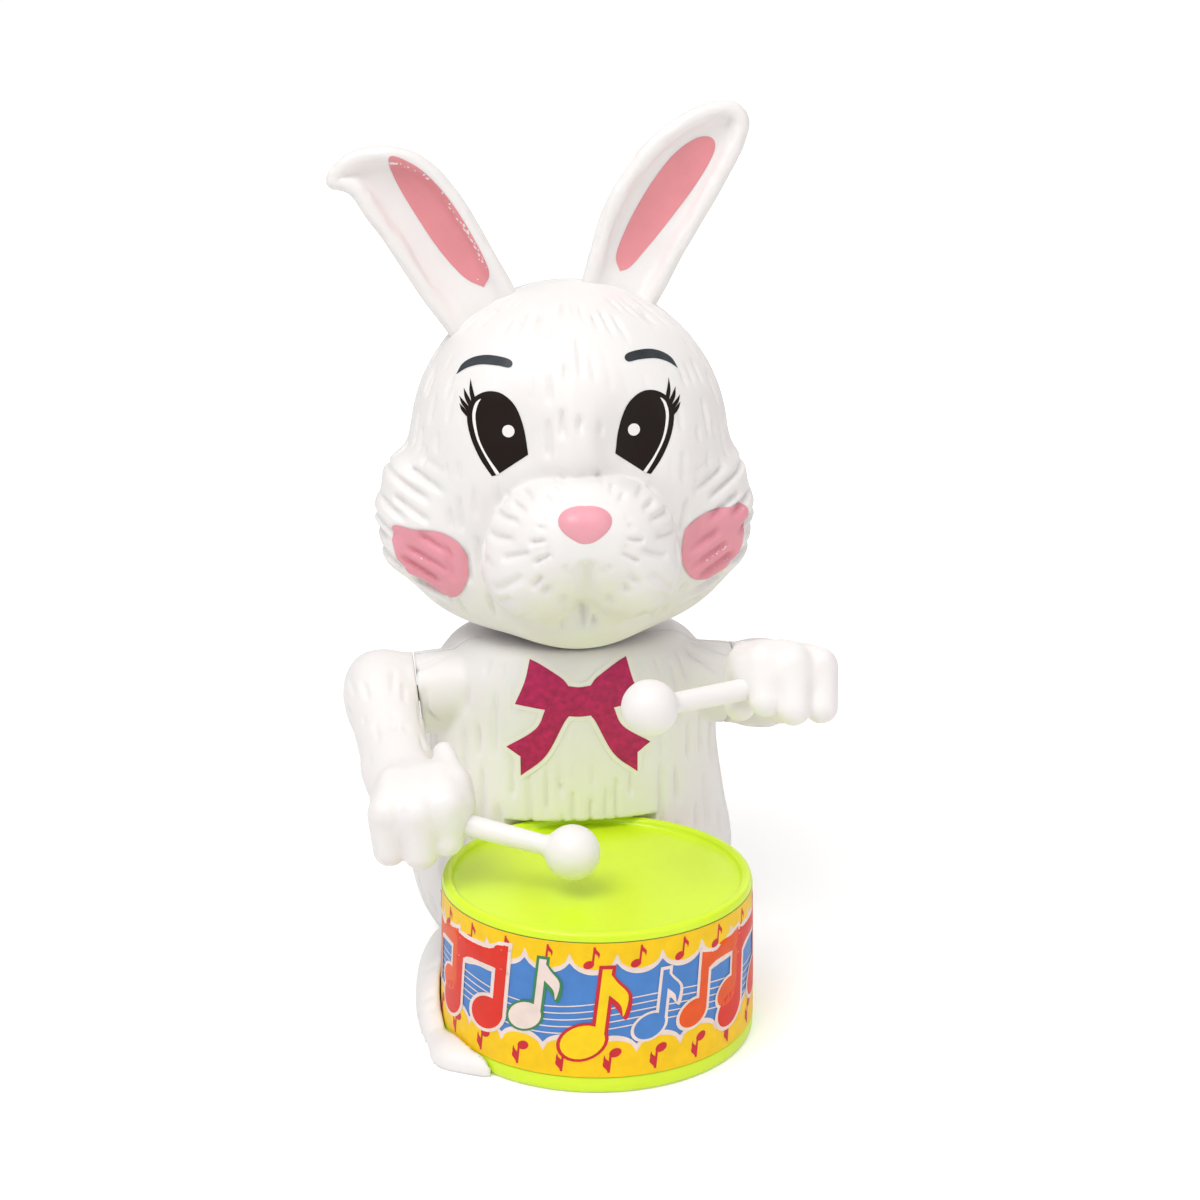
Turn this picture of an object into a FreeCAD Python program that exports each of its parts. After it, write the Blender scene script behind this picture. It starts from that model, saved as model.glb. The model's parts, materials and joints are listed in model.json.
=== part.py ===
import FreeCAD, Part
import math
import os
import re
import Sketcher

# Clockwork rabbit that beats a drum.
# Frame: millimetres, +Z up, the toy faces -Y, +X is the toy's own left side.
# The origin is on the floor, on the middle plane, under the body.

SIZES = {
    # body: two shells, split through the shoulder axes
    "body_wall": 1.2,
    "body_middle": 3.75,
    "body_top": 48.4,
    "collar_radius": 9.1,
    "drum_nest": 22.35,
    "drum_nest_top": 23.0,
    "key_hole_gap": 0.6,
    # drum
    "drum_forward": 29.0,
    "drum_radius": 22.0,
    "drum_top_radius": 21.5,
    "drum_height": 22.5,
    "drum_wall": 1.5,
    "drum_rim_width": 1.6,
    "drum_head_sink": 1.0,
    "drum_head_thick": 1.4,
    "drum_hollow_draft": 0.4,
    "drum_slot_behind": 5.0,
    "drum_bore_top": 9.0,
    "drum_screw_tip": 7.5,
    "drum_boss_radius": 2.8,
    "drum_boss_spread": 7.5,
    "label_bottom": 2.4,
    "label_top": 21.3,
    "label_thick": 0.15,
    # base
    "base_thick": 1.6,
    "base_gap": 0.15,
    "screw_seat": 1.1,
    "tongue_width": 20.0,
    "tongue_forward": 38.0,
    "base_screw_side": 5.0,
    "base_screw_back": 13.7,
    "base_screw_tip": 6.5,
    "base_bore_top": 7.0,
    "base_post_top": 9.0,
    "base_lug_half": 2.5,
    "base_lug_back": 5.0,
    "foot_screw_side": 16.5,
    "foot_screw_forward": 6.0,
    # feet
    "foot_side": 17.6,
    "foot_forward": 27.5,
    "foot_half_width": 7.4,
    "foot_half_length": 17.1,
    "foot_height": 10.0,
    "left_foot_inward": 1.6,
    "left_foot_backward": 8.0,
    "foot_heel": 12.0,
    "foot_lug_width": 6.0,
    "foot_lug_height": 3.8,
    "foot_lug_end": 2.4,
    "foot_lug_front": 16.0,
    "foot_bore_roof": 0.3,
    # head
    "head_wall": 1.4,
    "head_back": 5.0,
    "head_split": 4.0,
    "dome_height": 77.0,
    "dome_radius": 23.5,
    "cheek_height": 66.0,
    "cheek_half_width": 27.6,
    "cheek_half_depth": 19.5,
    "cheek_half_height": 17.4,
    "muzzle_height": 65.8,
    "muzzle_forward": 12.5,
    "muzzle_radius": 13.0,
    "neck_radius": 9.0,
    "neck_bottom": 44.8,
    "neck_flange": 11.0,
    "neck_flange_thick": 1.4,
    "neck_lap": 12.0,
    "head_screw_side": 13.0,
    "head_screw_low": 60.0,
    "head_screw_high": 84.0,
    "head_screw_seat": 6.0,
    "head_screw_bite": 5.0,
    # ears
    "ear_thick": 3.2,
    "ear_tab_width": 6.0,
    "ear_tab_thick": 2.4,
    # arms
    "shoulder_side": 28.0,
    "shoulder_height": 39.5,
    "shoulder_tilt": 5.5,
    "shoulder_radius": 6.6,
    "shoulder_inner": 4.6,
    "shoulder_outer": 5.7,
    "arm_low_angle": -15.4,
    "arm_high_angle": 17.2,
    "arm_level_angle": 0.9,
    "arm_reach": 30.0,
    "arm_inset": 3.5,
    "arm_thick": 5.0,
    "hand_radius": 6.5,
    "stick_radius": 1.5,
    "stick_inset": 19.2,
    "stick_forward": 7.3,
    "stick_drop": 4.4,
    "ball_radius": 3.8,
    # shoulder drive
    "shaft_radius": 1.2,
    "shaft_inner": 19.4,
    "shaft_outer": 4.0,
    "bush_radius": 2.4,
    "bush_flange": 2.9,
    "bush_inner": 9.9,
    "bush_outer": 5.2,
    "bush_flange_thick": 0.8,
    "bush_seat_wall": 1.4,
    "bush_seat_inner": 9.0,
    "running_gap": 0.05,
    "finger_side": 18.0,
    "finger_hub_radius": 2.3,
    "finger_hub_length": 2.4,
    "finger_radius": 0.8,
    "finger_reach": 8.0,
    # clockwork frame
    "plate_thick": 1.2,
    "front_plate_face": -3.4,
    "rear_plate_face": 10.0,
    "plate_half_width": 17.5,
    "plate_bottom": 4.0,
    "plate_top": 38.2,
    "plate_tab_half": 6.5,
    "plate_tab_top": 44.2,
    "pillar_side": 15.4,
    "pillar_low": 7.0,
    "pillar_high": 35.4,
    "pillar_radius": 1.9,
    "pillar_tip": 1.0,
    "pillar_rivet": 0.3,
    "plate_screw_bite": 2.4,
    "plate_screw_head": 0.9,
    "mount_side": 13.0,
    "mount_height": 24.0,
    "mount_boss_radius": 2.6,
    "mount_screw_head": 1.1,
    "mount_screw_tip": 15.0,
    # wheels
    "coarse_module": 0.6,
    "fine_module": 0.5,
    "great_teeth": 38,
    "second_pinion_teeth": 10,
    "second_teeth": 30,
    "third_pinion_teeth": 10,
    "third_teeth": 28,
    "governor_teeth": 8,
    "tooth_backlash": 0.14,
    "winder_height": 16.5,
    "crank_height": 31.0,
    "governor_direction": 35.0,
    "winder_radius": 1.3,
    "arbor_radius": 0.8,
    "great_thick": 1.8,
    "wheel_thick": 1.3,
    "pinion_thick": 2.2,
    # mainspring
    "spring_strip": 0.5,
    "spring_pitch": 1.1,
    "spring_inner": 2.6,
    "spring_turns": 6,
    "spring_face": 4.6,
    "spring_width": 5.0,
    # crank and rocker
    "crank_disc_radius": 3.6,
    "crank_disc_thick": 1.0,
    "crank_pin_radius": 0.7,
    "rocker_height": 41.2,
    "rocker_face": -7.0,
    "rocker_arm": 10.0,
    "rocker_thick": 1.2,
    "rocker_bore": 1.25,
    "rocker_slot_half": 0.8,
    "rocker_slot_reach": 2.9,
    "rocker_window_side": 1.4,
    "rocker_window_rise": 1.5,
    "rocker_half_rise": 2.2,
    "rocker_end": 1.9,
    "rocker_tail_end": 1.6,
    "stud_radius": 1.2,
    "stud_shoulder": 0.9,
    "clip_width": 1.1,
    "crank_face": -5.0,
    "crank_over_travel": 1.15,
    "rotor_face": 5.0,
    "great_face": 0.4,
    "second_face": -1.6,
    "third_face": 2.7,
    "sticker_thick": 0.25,
    # governor
    "rotor_radius": 5.0,
    "rotor_hub_radius": 1.8,
    "rotor_thick": 3.0,
    "rotor_lobe_half": 1.3,
    # key
    "key_stem_radius": 2.6,
    "key_stem_start": 21.0,
    "key_stem_end": 31.0,
    "key_wing_spread": 6.4,
    "key_wing_radius": 5.6,
    "key_wing_hole": 2.5,
    "key_wing_back": 33.5,
    "key_thick": 3.0,
    # tail
    "tail_radius": 5.2,
    "tail_back": 18.6,
    "tail_height": 6.6,
    # screws
    "screw_radius": 0.9,
    "screw_head_radius": 1.7,
    "screw_head_thick": 1.2,
    "screw_boss": 2.5,
    "screw_sink_gap": 0.1,
    "flat_head_thick": 0.8,
    "head_overlap": 0.4,
    "shell_screw_side": 20.0,
    "shell_screw_low": 10.0,
    "shell_screw_top_side": 14.5,
    "shell_screw_high": 45.4,
    "shell_screw_seat": 6.0,
    "shell_screw_bite": 4.5,
    "arbor_end": 0.4,
    "pin_end_gap": 0.3,
    "pinion_lap": 0.2,
}

# body outline: height, half width, half depth of each oval section
BODY_SECTIONS = [
    (0.0, 20.6, 13.4),
    (5.0, 23.2, 14.6),
    (12.5, 25.1, 15.6),
    (22.0, 23.7, 15.75),
    (31.0, 22.4, 15.6),
    (40.0, 22.0, 15.5),
    (45.0, 20.4, 15.2),
    (48.4, 17.6, 13.6),
]

os.makedirs("parts", exist_ok=True)
doc = FreeCAD.newDocument("ClockworkRabbit")
sheet = doc.addObject("Spreadsheet::Sheet", "Dims")
row = 0


def add_cell(alias, value):
    global row
    row += 1
    sheet.set("A%d" % row, alias)
    sheet.set("B%d" % row, str(value))
    sheet.setAlias("B%d" % row, alias)


for alias, value in SIZES.items():
    add_cell(alias, value)
for number, section in enumerate(BODY_SECTIONS, 1):
    for word, value in zip(("height", "width", "depth"), section):
        add_cell("section_%s_%d" % (word, number), value)
doc.recompute()

UP = FreeCAD.Vector(0, 0, 1)
ACROSS = FreeCAD.Vector(1, 0, 0)
ALONG = FreeCAD.Vector(0, 1, 0)
NO_TURN = FreeCAD.Rotation()
TO_BACK = FreeCAD.Rotation(ACROSS, -90)     # a cylinder's length points to +Y
TO_LEFT = FreeCAD.Rotation(ALONG, 90)       # a cylinder's length points to +X
PAST = 5.0                                  # how far cutting tools reach past a face
FAR = 60.0                                  # further out than either half of the toy
nodes = {}


def size(alias):
    return float(sheet.get(alias))


def rule(text):
    """Every alias has an underscore in it, and gets the sheet's name in front."""
    return re.sub(r"\b([a-z]+(?:_[a-z0-9]+)+)\b", r"Dims.\1", str(text))


def bind(piece, **sizes):
    for name, text in sizes.items():
        piece.setExpression(name, rule(text))


def place(piece, at=(0, 0, 0), turn=NO_TURN):
    piece.Placement = FreeCAD.Placement(FreeCAD.Vector(), turn)
    for letter, text in zip("xyz", at):
        piece.setExpression("Placement.Base." + letter, rule(text))


def solid(kind, name, at=(0, 0, 0), turn=NO_TURN, **sizes):
    piece = doc.addObject("Part::" + kind, name)
    bind(piece, **sizes)
    place(piece, at, turn)
    return piece


def rod(name, radius, start, end, x=0, z=0):
    """A round bar along Y, from start to end."""
    return solid("Cylinder", name, (x, start, z), TO_BACK,
                 Radius=radius, Height="(%s) - (%s)" % (end, start))


def post(name, radius, bottom, top, x=0, y=0):
    """A round bar along Z, from bottom to top."""
    return solid("Cylinder", name, (x, y, bottom), Radius=radius,
                 Height="(%s) - (%s)" % (top, bottom))


def block(name, x, y, z):
    """A box given by its lower and upper limit along each axis."""
    return solid("Box", name, (x[0], y[0], z[0]),
                 Length="(%s) - (%s)" % (x[1], x[0]),
                 Width="(%s) - (%s)" % (y[1], y[0]),
                 Height="(%s) - (%s)" % (z[1], z[0]))


def oval(name, at, along_x, along_y, along_z):
    return solid("Ellipsoid", name, at, Radius1=along_z, Radius2=along_x, Radius3=along_y,
                 Angle1="-90", Angle2="90", Angle3="360")


def fuse(name, *pieces):
    joined = doc.addObject("Part::MultiFuse", name)
    joined.Shapes = list(pieces)
    return joined


def common(name, *pieces):
    shared = doc.addObject("Part::MultiCommon", name)
    shared.Shapes = list(pieces)
    return shared


def cut(name, base, *tools):
    tool = tools[0] if len(tools) == 1 else fuse(name + "_tools", *tools)
    rest = doc.addObject("Part::Cut", name)
    rest.Base = base
    rest.Tool = tool
    return rest


def group(name, pieces):
    several = doc.addObject("Part::Compound", name)
    several.Links = list(pieces)
    return several


def node(piece, label):
    """Name a finished sub-part; the name is also its file's name."""
    piece.Label = label
    nodes[label] = piece
    return piece


# ---- sketches in a body's own upright plane (X across, Y of the sketch is up) ----

def plane_of(body, role):
    return [item for item in body.Origin.OriginFeatures if item.Role == role][0]


def sketch_in(body, name, role="XZ_Plane"):
    sketch = body.newObject("Sketcher::SketchObject", name)
    sketch.AttachmentSupport = [(plane_of(body, role), "")]
    sketch.MapMode = "FlatFace"
    return sketch


def fix_point(sketch, item, corner, across, upward):
    """Hold a point of a sketch at a place that the sheet gives."""
    for kind, text in (("DistanceX", across), ("DistanceY", upward)):
        value = value_of(text)
        if abs(value) < 1e-9:
            line = -2 if kind == "DistanceX" else -1
            sketch.addConstraint(Sketcher.Constraint("PointOnObject", item, corner, line))
            continue
        number = sketch.addConstraint(Sketcher.Constraint(kind, -1, 1, item, corner, value))
        sketch.setExpression("Constraints[%d]" % number, rule(text))


def value_of(text):
    """The number that a rule gives now."""
    names = {alias: size(alias) for alias in re.findall(r"\b[a-z]+(?:_[a-z0-9]+)+\b", str(text))}
    total = str(text)
    for alias in sorted(names, key=len, reverse=True):
        total = re.sub(r"\b%s\b" % alias, "(%r)" % names[alias], total)
    return FreeCAD.Units.Quantity(total).Value


def circle(sketch, across, upward, radius):
    where = FreeCAD.Vector(value_of(across), value_of(upward), 0)
    item = sketch.addGeometry(Part.Circle(where, UP, value_of(radius)))
    fix_point(sketch, item, 3, across, upward)
    number = sketch.addConstraint(Sketcher.Constraint("Radius", item, value_of(radius)))
    sketch.setExpression("Constraints[%d]" % number, rule(radius))


def outline(sketch, corners):
    """A closed line round corners, each held by rules."""
    points = [FreeCAD.Vector(value_of(a), value_of(u), 0) for a, u in corners]
    first = None
    for number, point in enumerate(points):
        following = points[(number + 1) % len(points)]
        item = sketch.addGeometry(Part.LineSegment(point, following))
        first = item if first is None else first
        if number:
            sketch.addConstraint(Sketcher.Constraint("Coincident", item - 1, 2, item, 1))
    sketch.addConstraint(Sketcher.Constraint("Coincident", item, 2, first, 1))
    for number, (across, upward) in enumerate(corners):
        fix_point(sketch, first + number, 1, across, upward)


def pad(body, sketch, length, backwards=True):
    """Thicken a sketch; in the upright plane the thickness goes towards +Y."""
    feature = body.newObject("PartDesign::Pad", body.Name + "Pad")
    feature.Profile = sketch
    feature.Reversed = backwards
    feature.setExpression("Length", rule(length))
    body.Tip = feature
    return feature


def upright_body(name, face, x=0, z=0):
    body = doc.addObject("PartDesign::Body", name)
    place(body, (x, face, z))
    return body


# ---- toothed wheels ----

def involute(base, radius):
    """Angle by which an involute has turned away from its start; 0 inside its base."""
    ratio = max(radius / base, 1.0)
    slope = math.sqrt(ratio * ratio - 1.0)
    return slope - math.atan(slope)


def wheel_outline(teeth, module, start_angle):
    """Edges of a toothed wheel: each flank an arc through three involute points."""
    pitch = teeth * module / 2
    tip = pitch + module * 0.9
    root = pitch - module * 1.2
    base = pitch * math.cos(math.radians(20))
    half_tooth = (math.pi * module / 2 - size("tooth_backlash")) / 2 / pitch
    centre_shift = half_tooth + involute(base, pitch)
    low = max(root, base)

    def spot(radius, angle):
        return FreeCAD.Vector(radius * math.cos(angle), radius * math.sin(angle), 0)

    edges = []
    step = 2 * math.pi / teeth
    for number in range(teeth):
        middle = math.radians(start_angle) + number * step
        radii = [low, (low + tip) / 2, tip]
        rising = [spot(r, middle - centre_shift + involute(base, r)) for r in radii]
        falling = [spot(r, middle + centre_shift - involute(base, r)) for r in reversed(radii)]
        foot_in = spot(root, middle - centre_shift)
        foot_out = spot(root, middle + centre_shift)
        following = spot(root, middle + step - centre_shift + involute(base, root))
        if low > root:
            edges.append(Part.LineSegment(foot_in, rising[0]))
        edges.append(Part.Arc(*rising))
        edges.append(Part.LineSegment(rising[2], falling[0]))
        edges.append(Part.Arc(*falling))
        if low > root:
            edges.append(Part.LineSegment(falling[2], foot_out))
            edges.append(Part.LineSegment(foot_out, following))
        else:
            edges.append(Part.LineSegment(falling[2], following))
    return edges


def toothed_wheel(label, teeth, module, bore, face, thick, x, z, start_angle):
    body = upright_body(label.title().replace("_", ""), face, x, z)
    sketch = sketch_in(body, body.Name + "Teeth")
    sketch.addGeometry(wheel_outline(int(teeth), module, start_angle), False)
    circle(sketch, 0, 0, bore)
    pad(body, sketch, thick)
    return node(body, label)


def mating_angle(first_teeth, first_angle, second_teeth, direction):
    """Tooth angle that puts the second wheel in mesh with the first."""
    first_step = 360.0 / first_teeth
    second_step = 360.0 / second_teeth
    share = ((direction - first_angle) / first_step) % 1.0
    return direction + 180.0 - (0.5 - share) * second_step


# ---- body ----

def oval_stack(name, shrink, lift_first, last_height):
    """A solid through the body's oval sections, made smaller by shrink all round."""
    rings = []
    for number in range(1, len(BODY_SECTIONS) + 1):
        ring = doc.addObject("Part::Ellipse", "%sRing%d" % (name, number))
        bind(ring, MajorRadius="section_width_%d - %s" % (number, shrink),
             MinorRadius="section_depth_%d - %s" % (number, shrink))
        height = "section_height_%d" % number
        if number == 1:
            height += " - %s" % lift_first
        if number == len(BODY_SECTIONS):
            height = last_height
        place(ring, (0, "body_middle", height))
        rings.append(ring)
    stack = doc.addObject("Part::Loft", name)
    stack.Sections = rings
    stack.Solid = True
    stack.Ruled = False
    return stack


def nest(name, extra):
    """The space round the drum that the body leaves free."""
    return post(name, "drum_nest + %s" % extra, -PAST, "drum_nest_top + %s" % extra,
                0, "-drum_forward")


def bush_seat(name, side, radius, inner, outer):
    """A round bar along one tilted shoulder axis."""
    bar = doc.addObject("Part::Cylinder", name)
    bind(bar, Radius=radius, Height="(%s) - (%s)" % (inner, outer))
    tilt = FreeCAD.Rotation(ALONG, side * size("shoulder_tilt"))
    bar.Placement = FreeCAD.Placement(FreeCAD.Vector(), tilt * FreeCAD.Rotation(ALONG, -side * 90))
    lean = math.radians(size("shoulder_tilt"))
    start = "(%s)" % outer
    bar.setExpression("Placement.Base.x", rule("%d * (shoulder_side - %s * %.9f)"
                                               % (side, start, math.cos(lean))))
    bar.setExpression("Placement.Base.z", rule("shoulder_height + %s * %.9f"
                                               % (start, math.sin(lean))))
    return bar


def make_body_shells():
    tail = solid("Sphere", "TailBall", (0, "tail_back", "tail_height"), Radius="tail_radius")
    outside = cut("BodyOutside",
                  fuse("BodyAndTail", oval_stack("BodyOval", "0", "0", "body_top"), tail),
                  nest("DrumSpace", "0"))
    posts = []
    bores = []
    rear_bores = [rod("WinderHole", "winder_radius + key_hole_gap", 12, 30, 0,
                      "winder_height")]
    front_bores = [block("TongueGap", ("-tongue_width / 2 - base_gap",
                                       "tongue_width / 2 + base_gap"),
                         (-20, 0), (-PAST, "base_thick + 0.1"))]
    for side, word in ((-1, "Right"), (1, "Left")):
        for level, across, height in (("Low", "shell_screw_side", "shell_screw_low"),
                                      ("High", "shell_screw_top_side", "shell_screw_high")):
            across = "%d * %s" % (side, across)
            posts.append(rod(word + level + "Post", "screw_boss", -FAR, FAR, across, height))
            bores.append(rod(word + level + "Bore", "screw_radius", -6, 30, across, height))
            rear_bores.append(rod(word + level + "HeadBore",
                                  "screw_head_radius + screw_sink_gap",
                                  "shell_screw_seat", 30, across, height))
        posts.append(bush_seat(word + "BushPad", side, "bush_radius + bush_seat_wall",
                               "bush_seat_inner", "0"))
        bores.append(bush_seat(word + "BushHole", side, "bush_radius", "bush_inner + 1", "0"))
        across = "%d * mount_side" % side
        posts.append(rod(word + "MountPost", "mount_boss_radius",
                         "rear_plate_face + plate_thick", FAR, across, "mount_height"))
        rear_bores.append(rod(word + "MountBore", "screw_radius", 5, "mount_screw_tip + 1",
                              across, "mount_height"))
        across = "%d * base_screw_side" % side
        posts.append(post(word + "BasePost", "screw_boss", "base_thick", "base_post_top",
                          across, "base_screw_back"))
        rear_bores.append(post(word + "BaseBore", "screw_radius", 0, "base_bore_top",
                               across, "base_screw_back"))
        lug = ("%d * foot_screw_side - foot_lug_width / 2 - base_gap" % side,
               "%d * foot_screw_side + foot_lug_width / 2 + base_gap" % side)
        front_bores.append(block(word + "LugGap", lug,
                                 (-20, "-foot_screw_forward + base_lug_back + 0.2"),
                                 (-PAST, "foot_lug_height + base_gap")))
    bores.append(post("Collar", "collar_radius", 40, 55, 0, "body_middle"))
    hollow = cut("BodyHollow",
                 oval_stack("BodyInside", "body_wall", "1", "body_top - body_wall"),
                 nest("DrumSpaceWall", "body_wall"), *posts)
    skin = cut("BodySkin", outside, hollow, *bores)
    front_limits = block("FrontLimits", (-FAR, FAR), (-FAR, 0), (-PAST, FAR))
    rear_limits = block("RearLimits", (-FAR, FAR), (0, FAR), (-PAST, FAR))
    node(cut("FrontShell", common("FrontSkin", skin, front_limits), *front_bores),
         "body_front_shell")
    node(cut("RearShell", common("RearSkin", skin, rear_limits), *rear_bores),
         "body_rear_shell")


# ---- base ----

def make_base():
    width = "section_width_1 - body_wall - base_gap"
    depth = "section_depth_1 - body_wall - base_gap"
    ring = doc.addObject("Part::Ellipse", "BaseRing")
    bind(ring, MajorRadius=width, MinorRadius=depth)
    place(ring, (0, "body_middle", 0))
    face = doc.addObject("Part::Extrusion", "BasePlate")
    face.Base = ring
    face.Dir = UP
    face.Solid = True
    face.DirMode = "Custom"
    face.setExpression("LengthFwd", rule("base_thick"))
    tongue = block("BaseTongue", ("-tongue_width / 2", "tongue_width / 2"),
                   ("-tongue_forward", 0), (0, "base_thick"))
    clear_nest = cut("BaseFront", face, nest("DrumSpaceBase", "body_wall + base_gap"))
    holes = []
    for side in (-1, 1):
        word = "Left" if side > 0 else "Right"
        for name, across, y in (("Base", "base_screw_side", "base_screw_back"),
                                ("Foot", "foot_screw_side", "-foot_screw_forward"),
                                ("Drum", "drum_boss_spread", "-drum_forward")):
            across = "%d * %s" % (side, across)
            holes.append(post(word + name + "Hole", "screw_radius", -1, 3, across, y))
            holes.append(post(word + name + "Sink", "screw_head_radius + running_gap", -1,
                              "screw_seat", across, y))
    lugs = [block(word + "BaseLug", ("%d * foot_screw_side - base_lug_half" % side,
                                     "%d * foot_screw_side + base_lug_half" % side),
                  ("-foot_screw_forward - foot_lug_end", "-foot_screw_forward + base_lug_back"),
                  (0, "base_thick"))
            for side, word in ((-1, "Right"), (1, "Left"))]
    whole = fuse("BaseWhole", clear_nest, tongue, *lugs)
    node(cut("BaseCover", whole, *holes), "base_cover")


def screw_up(name, across, y, top):
    """A screw driven up from below; its flat head sits flush in the cover."""
    head = post(name + "Head", "screw_head_radius", "screw_seat - flat_head_thick",
                "screw_seat", across, y)
    return fuse(name, head, post(name + "Shank", "screw_radius",
                                 "screw_seat - head_overlap", top, across, y))


def screw_forward(name, across, height, head_face, tip):
    """A screw driven in from behind, along -Y."""
    head = rod(name + "Head", "screw_head_radius", head_face,
               "(%s) + screw_head_thick" % head_face, across, height)
    return fuse(name, head, rod(name + "Shank", "screw_radius", tip,
                                "(%s) + head_overlap" % head_face, across, height))


def make_screws():
    base, foot, drum, shell, head = [], [], [], [], []
    for side, word in ((-1, "Right"), (1, "Left")):
        base.append(screw_up(word + "BaseScrew", "%d * base_screw_side" % side,
                             "base_screw_back", "base_screw_tip"))
        foot.append(screw_up(word + "FootScrew", "%d * foot_screw_side" % side,
                             "-foot_screw_forward", "foot_lug_height - foot_bore_roof - 0.1"))
        drum.append(screw_up(word + "DrumScrew", "%d * drum_boss_spread" % side,
                             "-drum_forward", "drum_screw_tip"))
        for level, across, height in (("Low", "shell_screw_side", "shell_screw_low"),
                                      ("High", "shell_screw_top_side", "shell_screw_high")):
            shell.append(screw_forward(word + level + "ShellScrew", "%d * %s" % (side, across),
                                       height, "shell_screw_seat", "-shell_screw_bite"))
        for level, height in (("Low", "head_screw_low"), ("High", "head_screw_high")):
            head.append(screw_forward(word + level + "HeadScrew",
                                      "%d * head_screw_side" % side, height,
                                      "head_split + head_screw_seat",
                                      "head_split - head_screw_bite"))
    node(group("BaseScrews", base), "base_screws")
    node(group("FootScrews", foot), "foot_screws")
    node(group("DrumScrews", drum), "drum_screws")
    node(group("ShellScrews", shell), "shell_screws")
    node(group("HeadScrews", head), "head_screws")


# ---- drum ----

def make_drum():
    middle = (0, "-drum_forward")

    def turned(name, low, high, bottom, top):
        return solid("Cone", name, (*middle, bottom), Radius1=low, Radius2=high,
                     Height="(%s) - (%s)" % (top, bottom))

    outside = turned("DrumOutside", "drum_radius", "drum_top_radius", 0, "drum_height")
    sink = post("DrumSink", "drum_top_radius - drum_rim_width",
                "drum_height - drum_head_sink", "drum_height + 1", *middle)
    hollow = post("DrumHollow", "drum_top_radius - drum_wall - drum_hollow_draft", -1,
                  "drum_height - drum_head_sink - drum_head_thick", *middle)
    bosses = []
    bores = []
    for side, word in ((-1, "Right"), (1, "Left")):
        across = "%d * drum_boss_spread" % side
        bosses.append(post(word + "DrumBoss", "drum_boss_radius", "base_thick",
                           "drum_height + 1", across, "-drum_forward"))
        bores.append(post(word + "DrumBore", "screw_radius", 0, "drum_bore_top", across,
                          "-drum_forward"))
    space = cut("DrumSpaceInside", hollow, *bosses)
    slot = block("DrumSlot", ("-tongue_width / 2 - base_gap", "tongue_width / 2 + base_gap"),
                 ("-drum_forward + drum_slot_behind", 0), ("-1", "base_thick + running_gap"))
    node(cut("DrumShell", outside, sink, space, slot, *bores), "drum_shell")
    slope = "(drum_radius - drum_top_radius) / drum_height"
    low = "drum_radius - label_bottom * %s + %s"
    high = "drum_radius - label_top * %s + %s"
    sleeve = cut("DrumSleeve",
                 turned("LabelOutside", low % (slope, "label_thick"),
                        high % (slope, "label_thick"), "label_bottom", "label_top"),
                 turned("LabelInside", low % (slope, "0"), high % (slope, "0"),
                        "label_bottom", "label_top"))
    node(sleeve, "drum_label")


# ---- feet ----

def make_feet():
    for side, word in ((-1, "right"), (1, "left")):
        title = word.title()
        across, ahead = "%d * foot_side" % side, "-foot_forward"
        if side > 0:    # the left foot is drawn back beside the drum
            across += " - left_foot_inward"
            ahead += " + left_foot_backward"
        form = oval(title + "FootForm", (across, ahead, 0), "foot_half_width",
                    "foot_half_length", "foot_height")
        ground = block(title + "FootGround", (-FAR, FAR), (-FAR, 20), (-20, 0))
        behind = block(title + "FootBehind", (-FAR, FAR), ("-foot_heel", FAR), (-PAST, FAR))
        lug = block(title + "FootLug", ("%d * foot_screw_side - foot_lug_width / 2" % side,
                                        "%d * foot_screw_side + foot_lug_width / 2" % side),
                    ("-foot_lug_front", "-foot_screw_forward + foot_lug_end"),
                    ("base_thick", "foot_lug_height"))
        bore = post(title + "FootBore", "screw_radius", 0, "foot_lug_height - foot_bore_roof",
                    "%d * foot_screw_side" % side, "-foot_screw_forward")
        body_space = cut(title + "FootBodySpace",
                         oval_stack(title + "FootBody", "-0.1", "1", "body_top"),
                         nest(title + "FootBodyNest", "0"))
        foot = cut(title + "FootTop", form, ground, behind, body_space)
        nest_space = post(title + "FootNest", "drum_radius + base_gap + 0.1", -PAST, 30, 0,
                          "-drum_forward")
        node(cut(title + "Foot", fuse(title + "FootWhole", foot, lug), nest_space, bore),
             "foot_" + word)


# ---- head ----

def head_form(name, shrink):
    """Dome, cheeks and muzzle as one form, made smaller by shrink all round."""
    dome = solid("Sphere", name + "Dome", (0, "head_back", "dome_height"),
                 Radius="dome_radius - %s" % shrink)
    cheeks = oval(name + "Cheeks", (0, "head_back - 1", "cheek_height"),
                  "cheek_half_width - %s" % shrink, "cheek_half_depth - %s" % shrink,
                  "cheek_half_height - %s" % shrink)
    muzzle = solid("Sphere", name + "Muzzle", (0, "-muzzle_forward", "muzzle_height"),
                   Radius="muzzle_radius - %s" % shrink)
    return fuse(name, dome, cheeks, muzzle)


def ear_outline(side):
    """Leaf-shaped ears: one stands straight, the other leans out and curls over."""
    if side > 0:
        return [(2.5, 96.0), (3.2, 107.0), (9.0, 117.5), (17.5, 124.0), (25.2, 124.6),
                (25.0, 117.0), (20.0, 107.0), (14.5, 96.0)]
    return [(-8.5, 96.0), (-11.0, 105.0), (-15.5, 114.5), (-24.0, 119.2), (-33.0, 117.0),
            (-34.2, 113.6), (-27.5, 108.0), (-21.5, 97.5), (-19.0, 92.0)]


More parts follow.
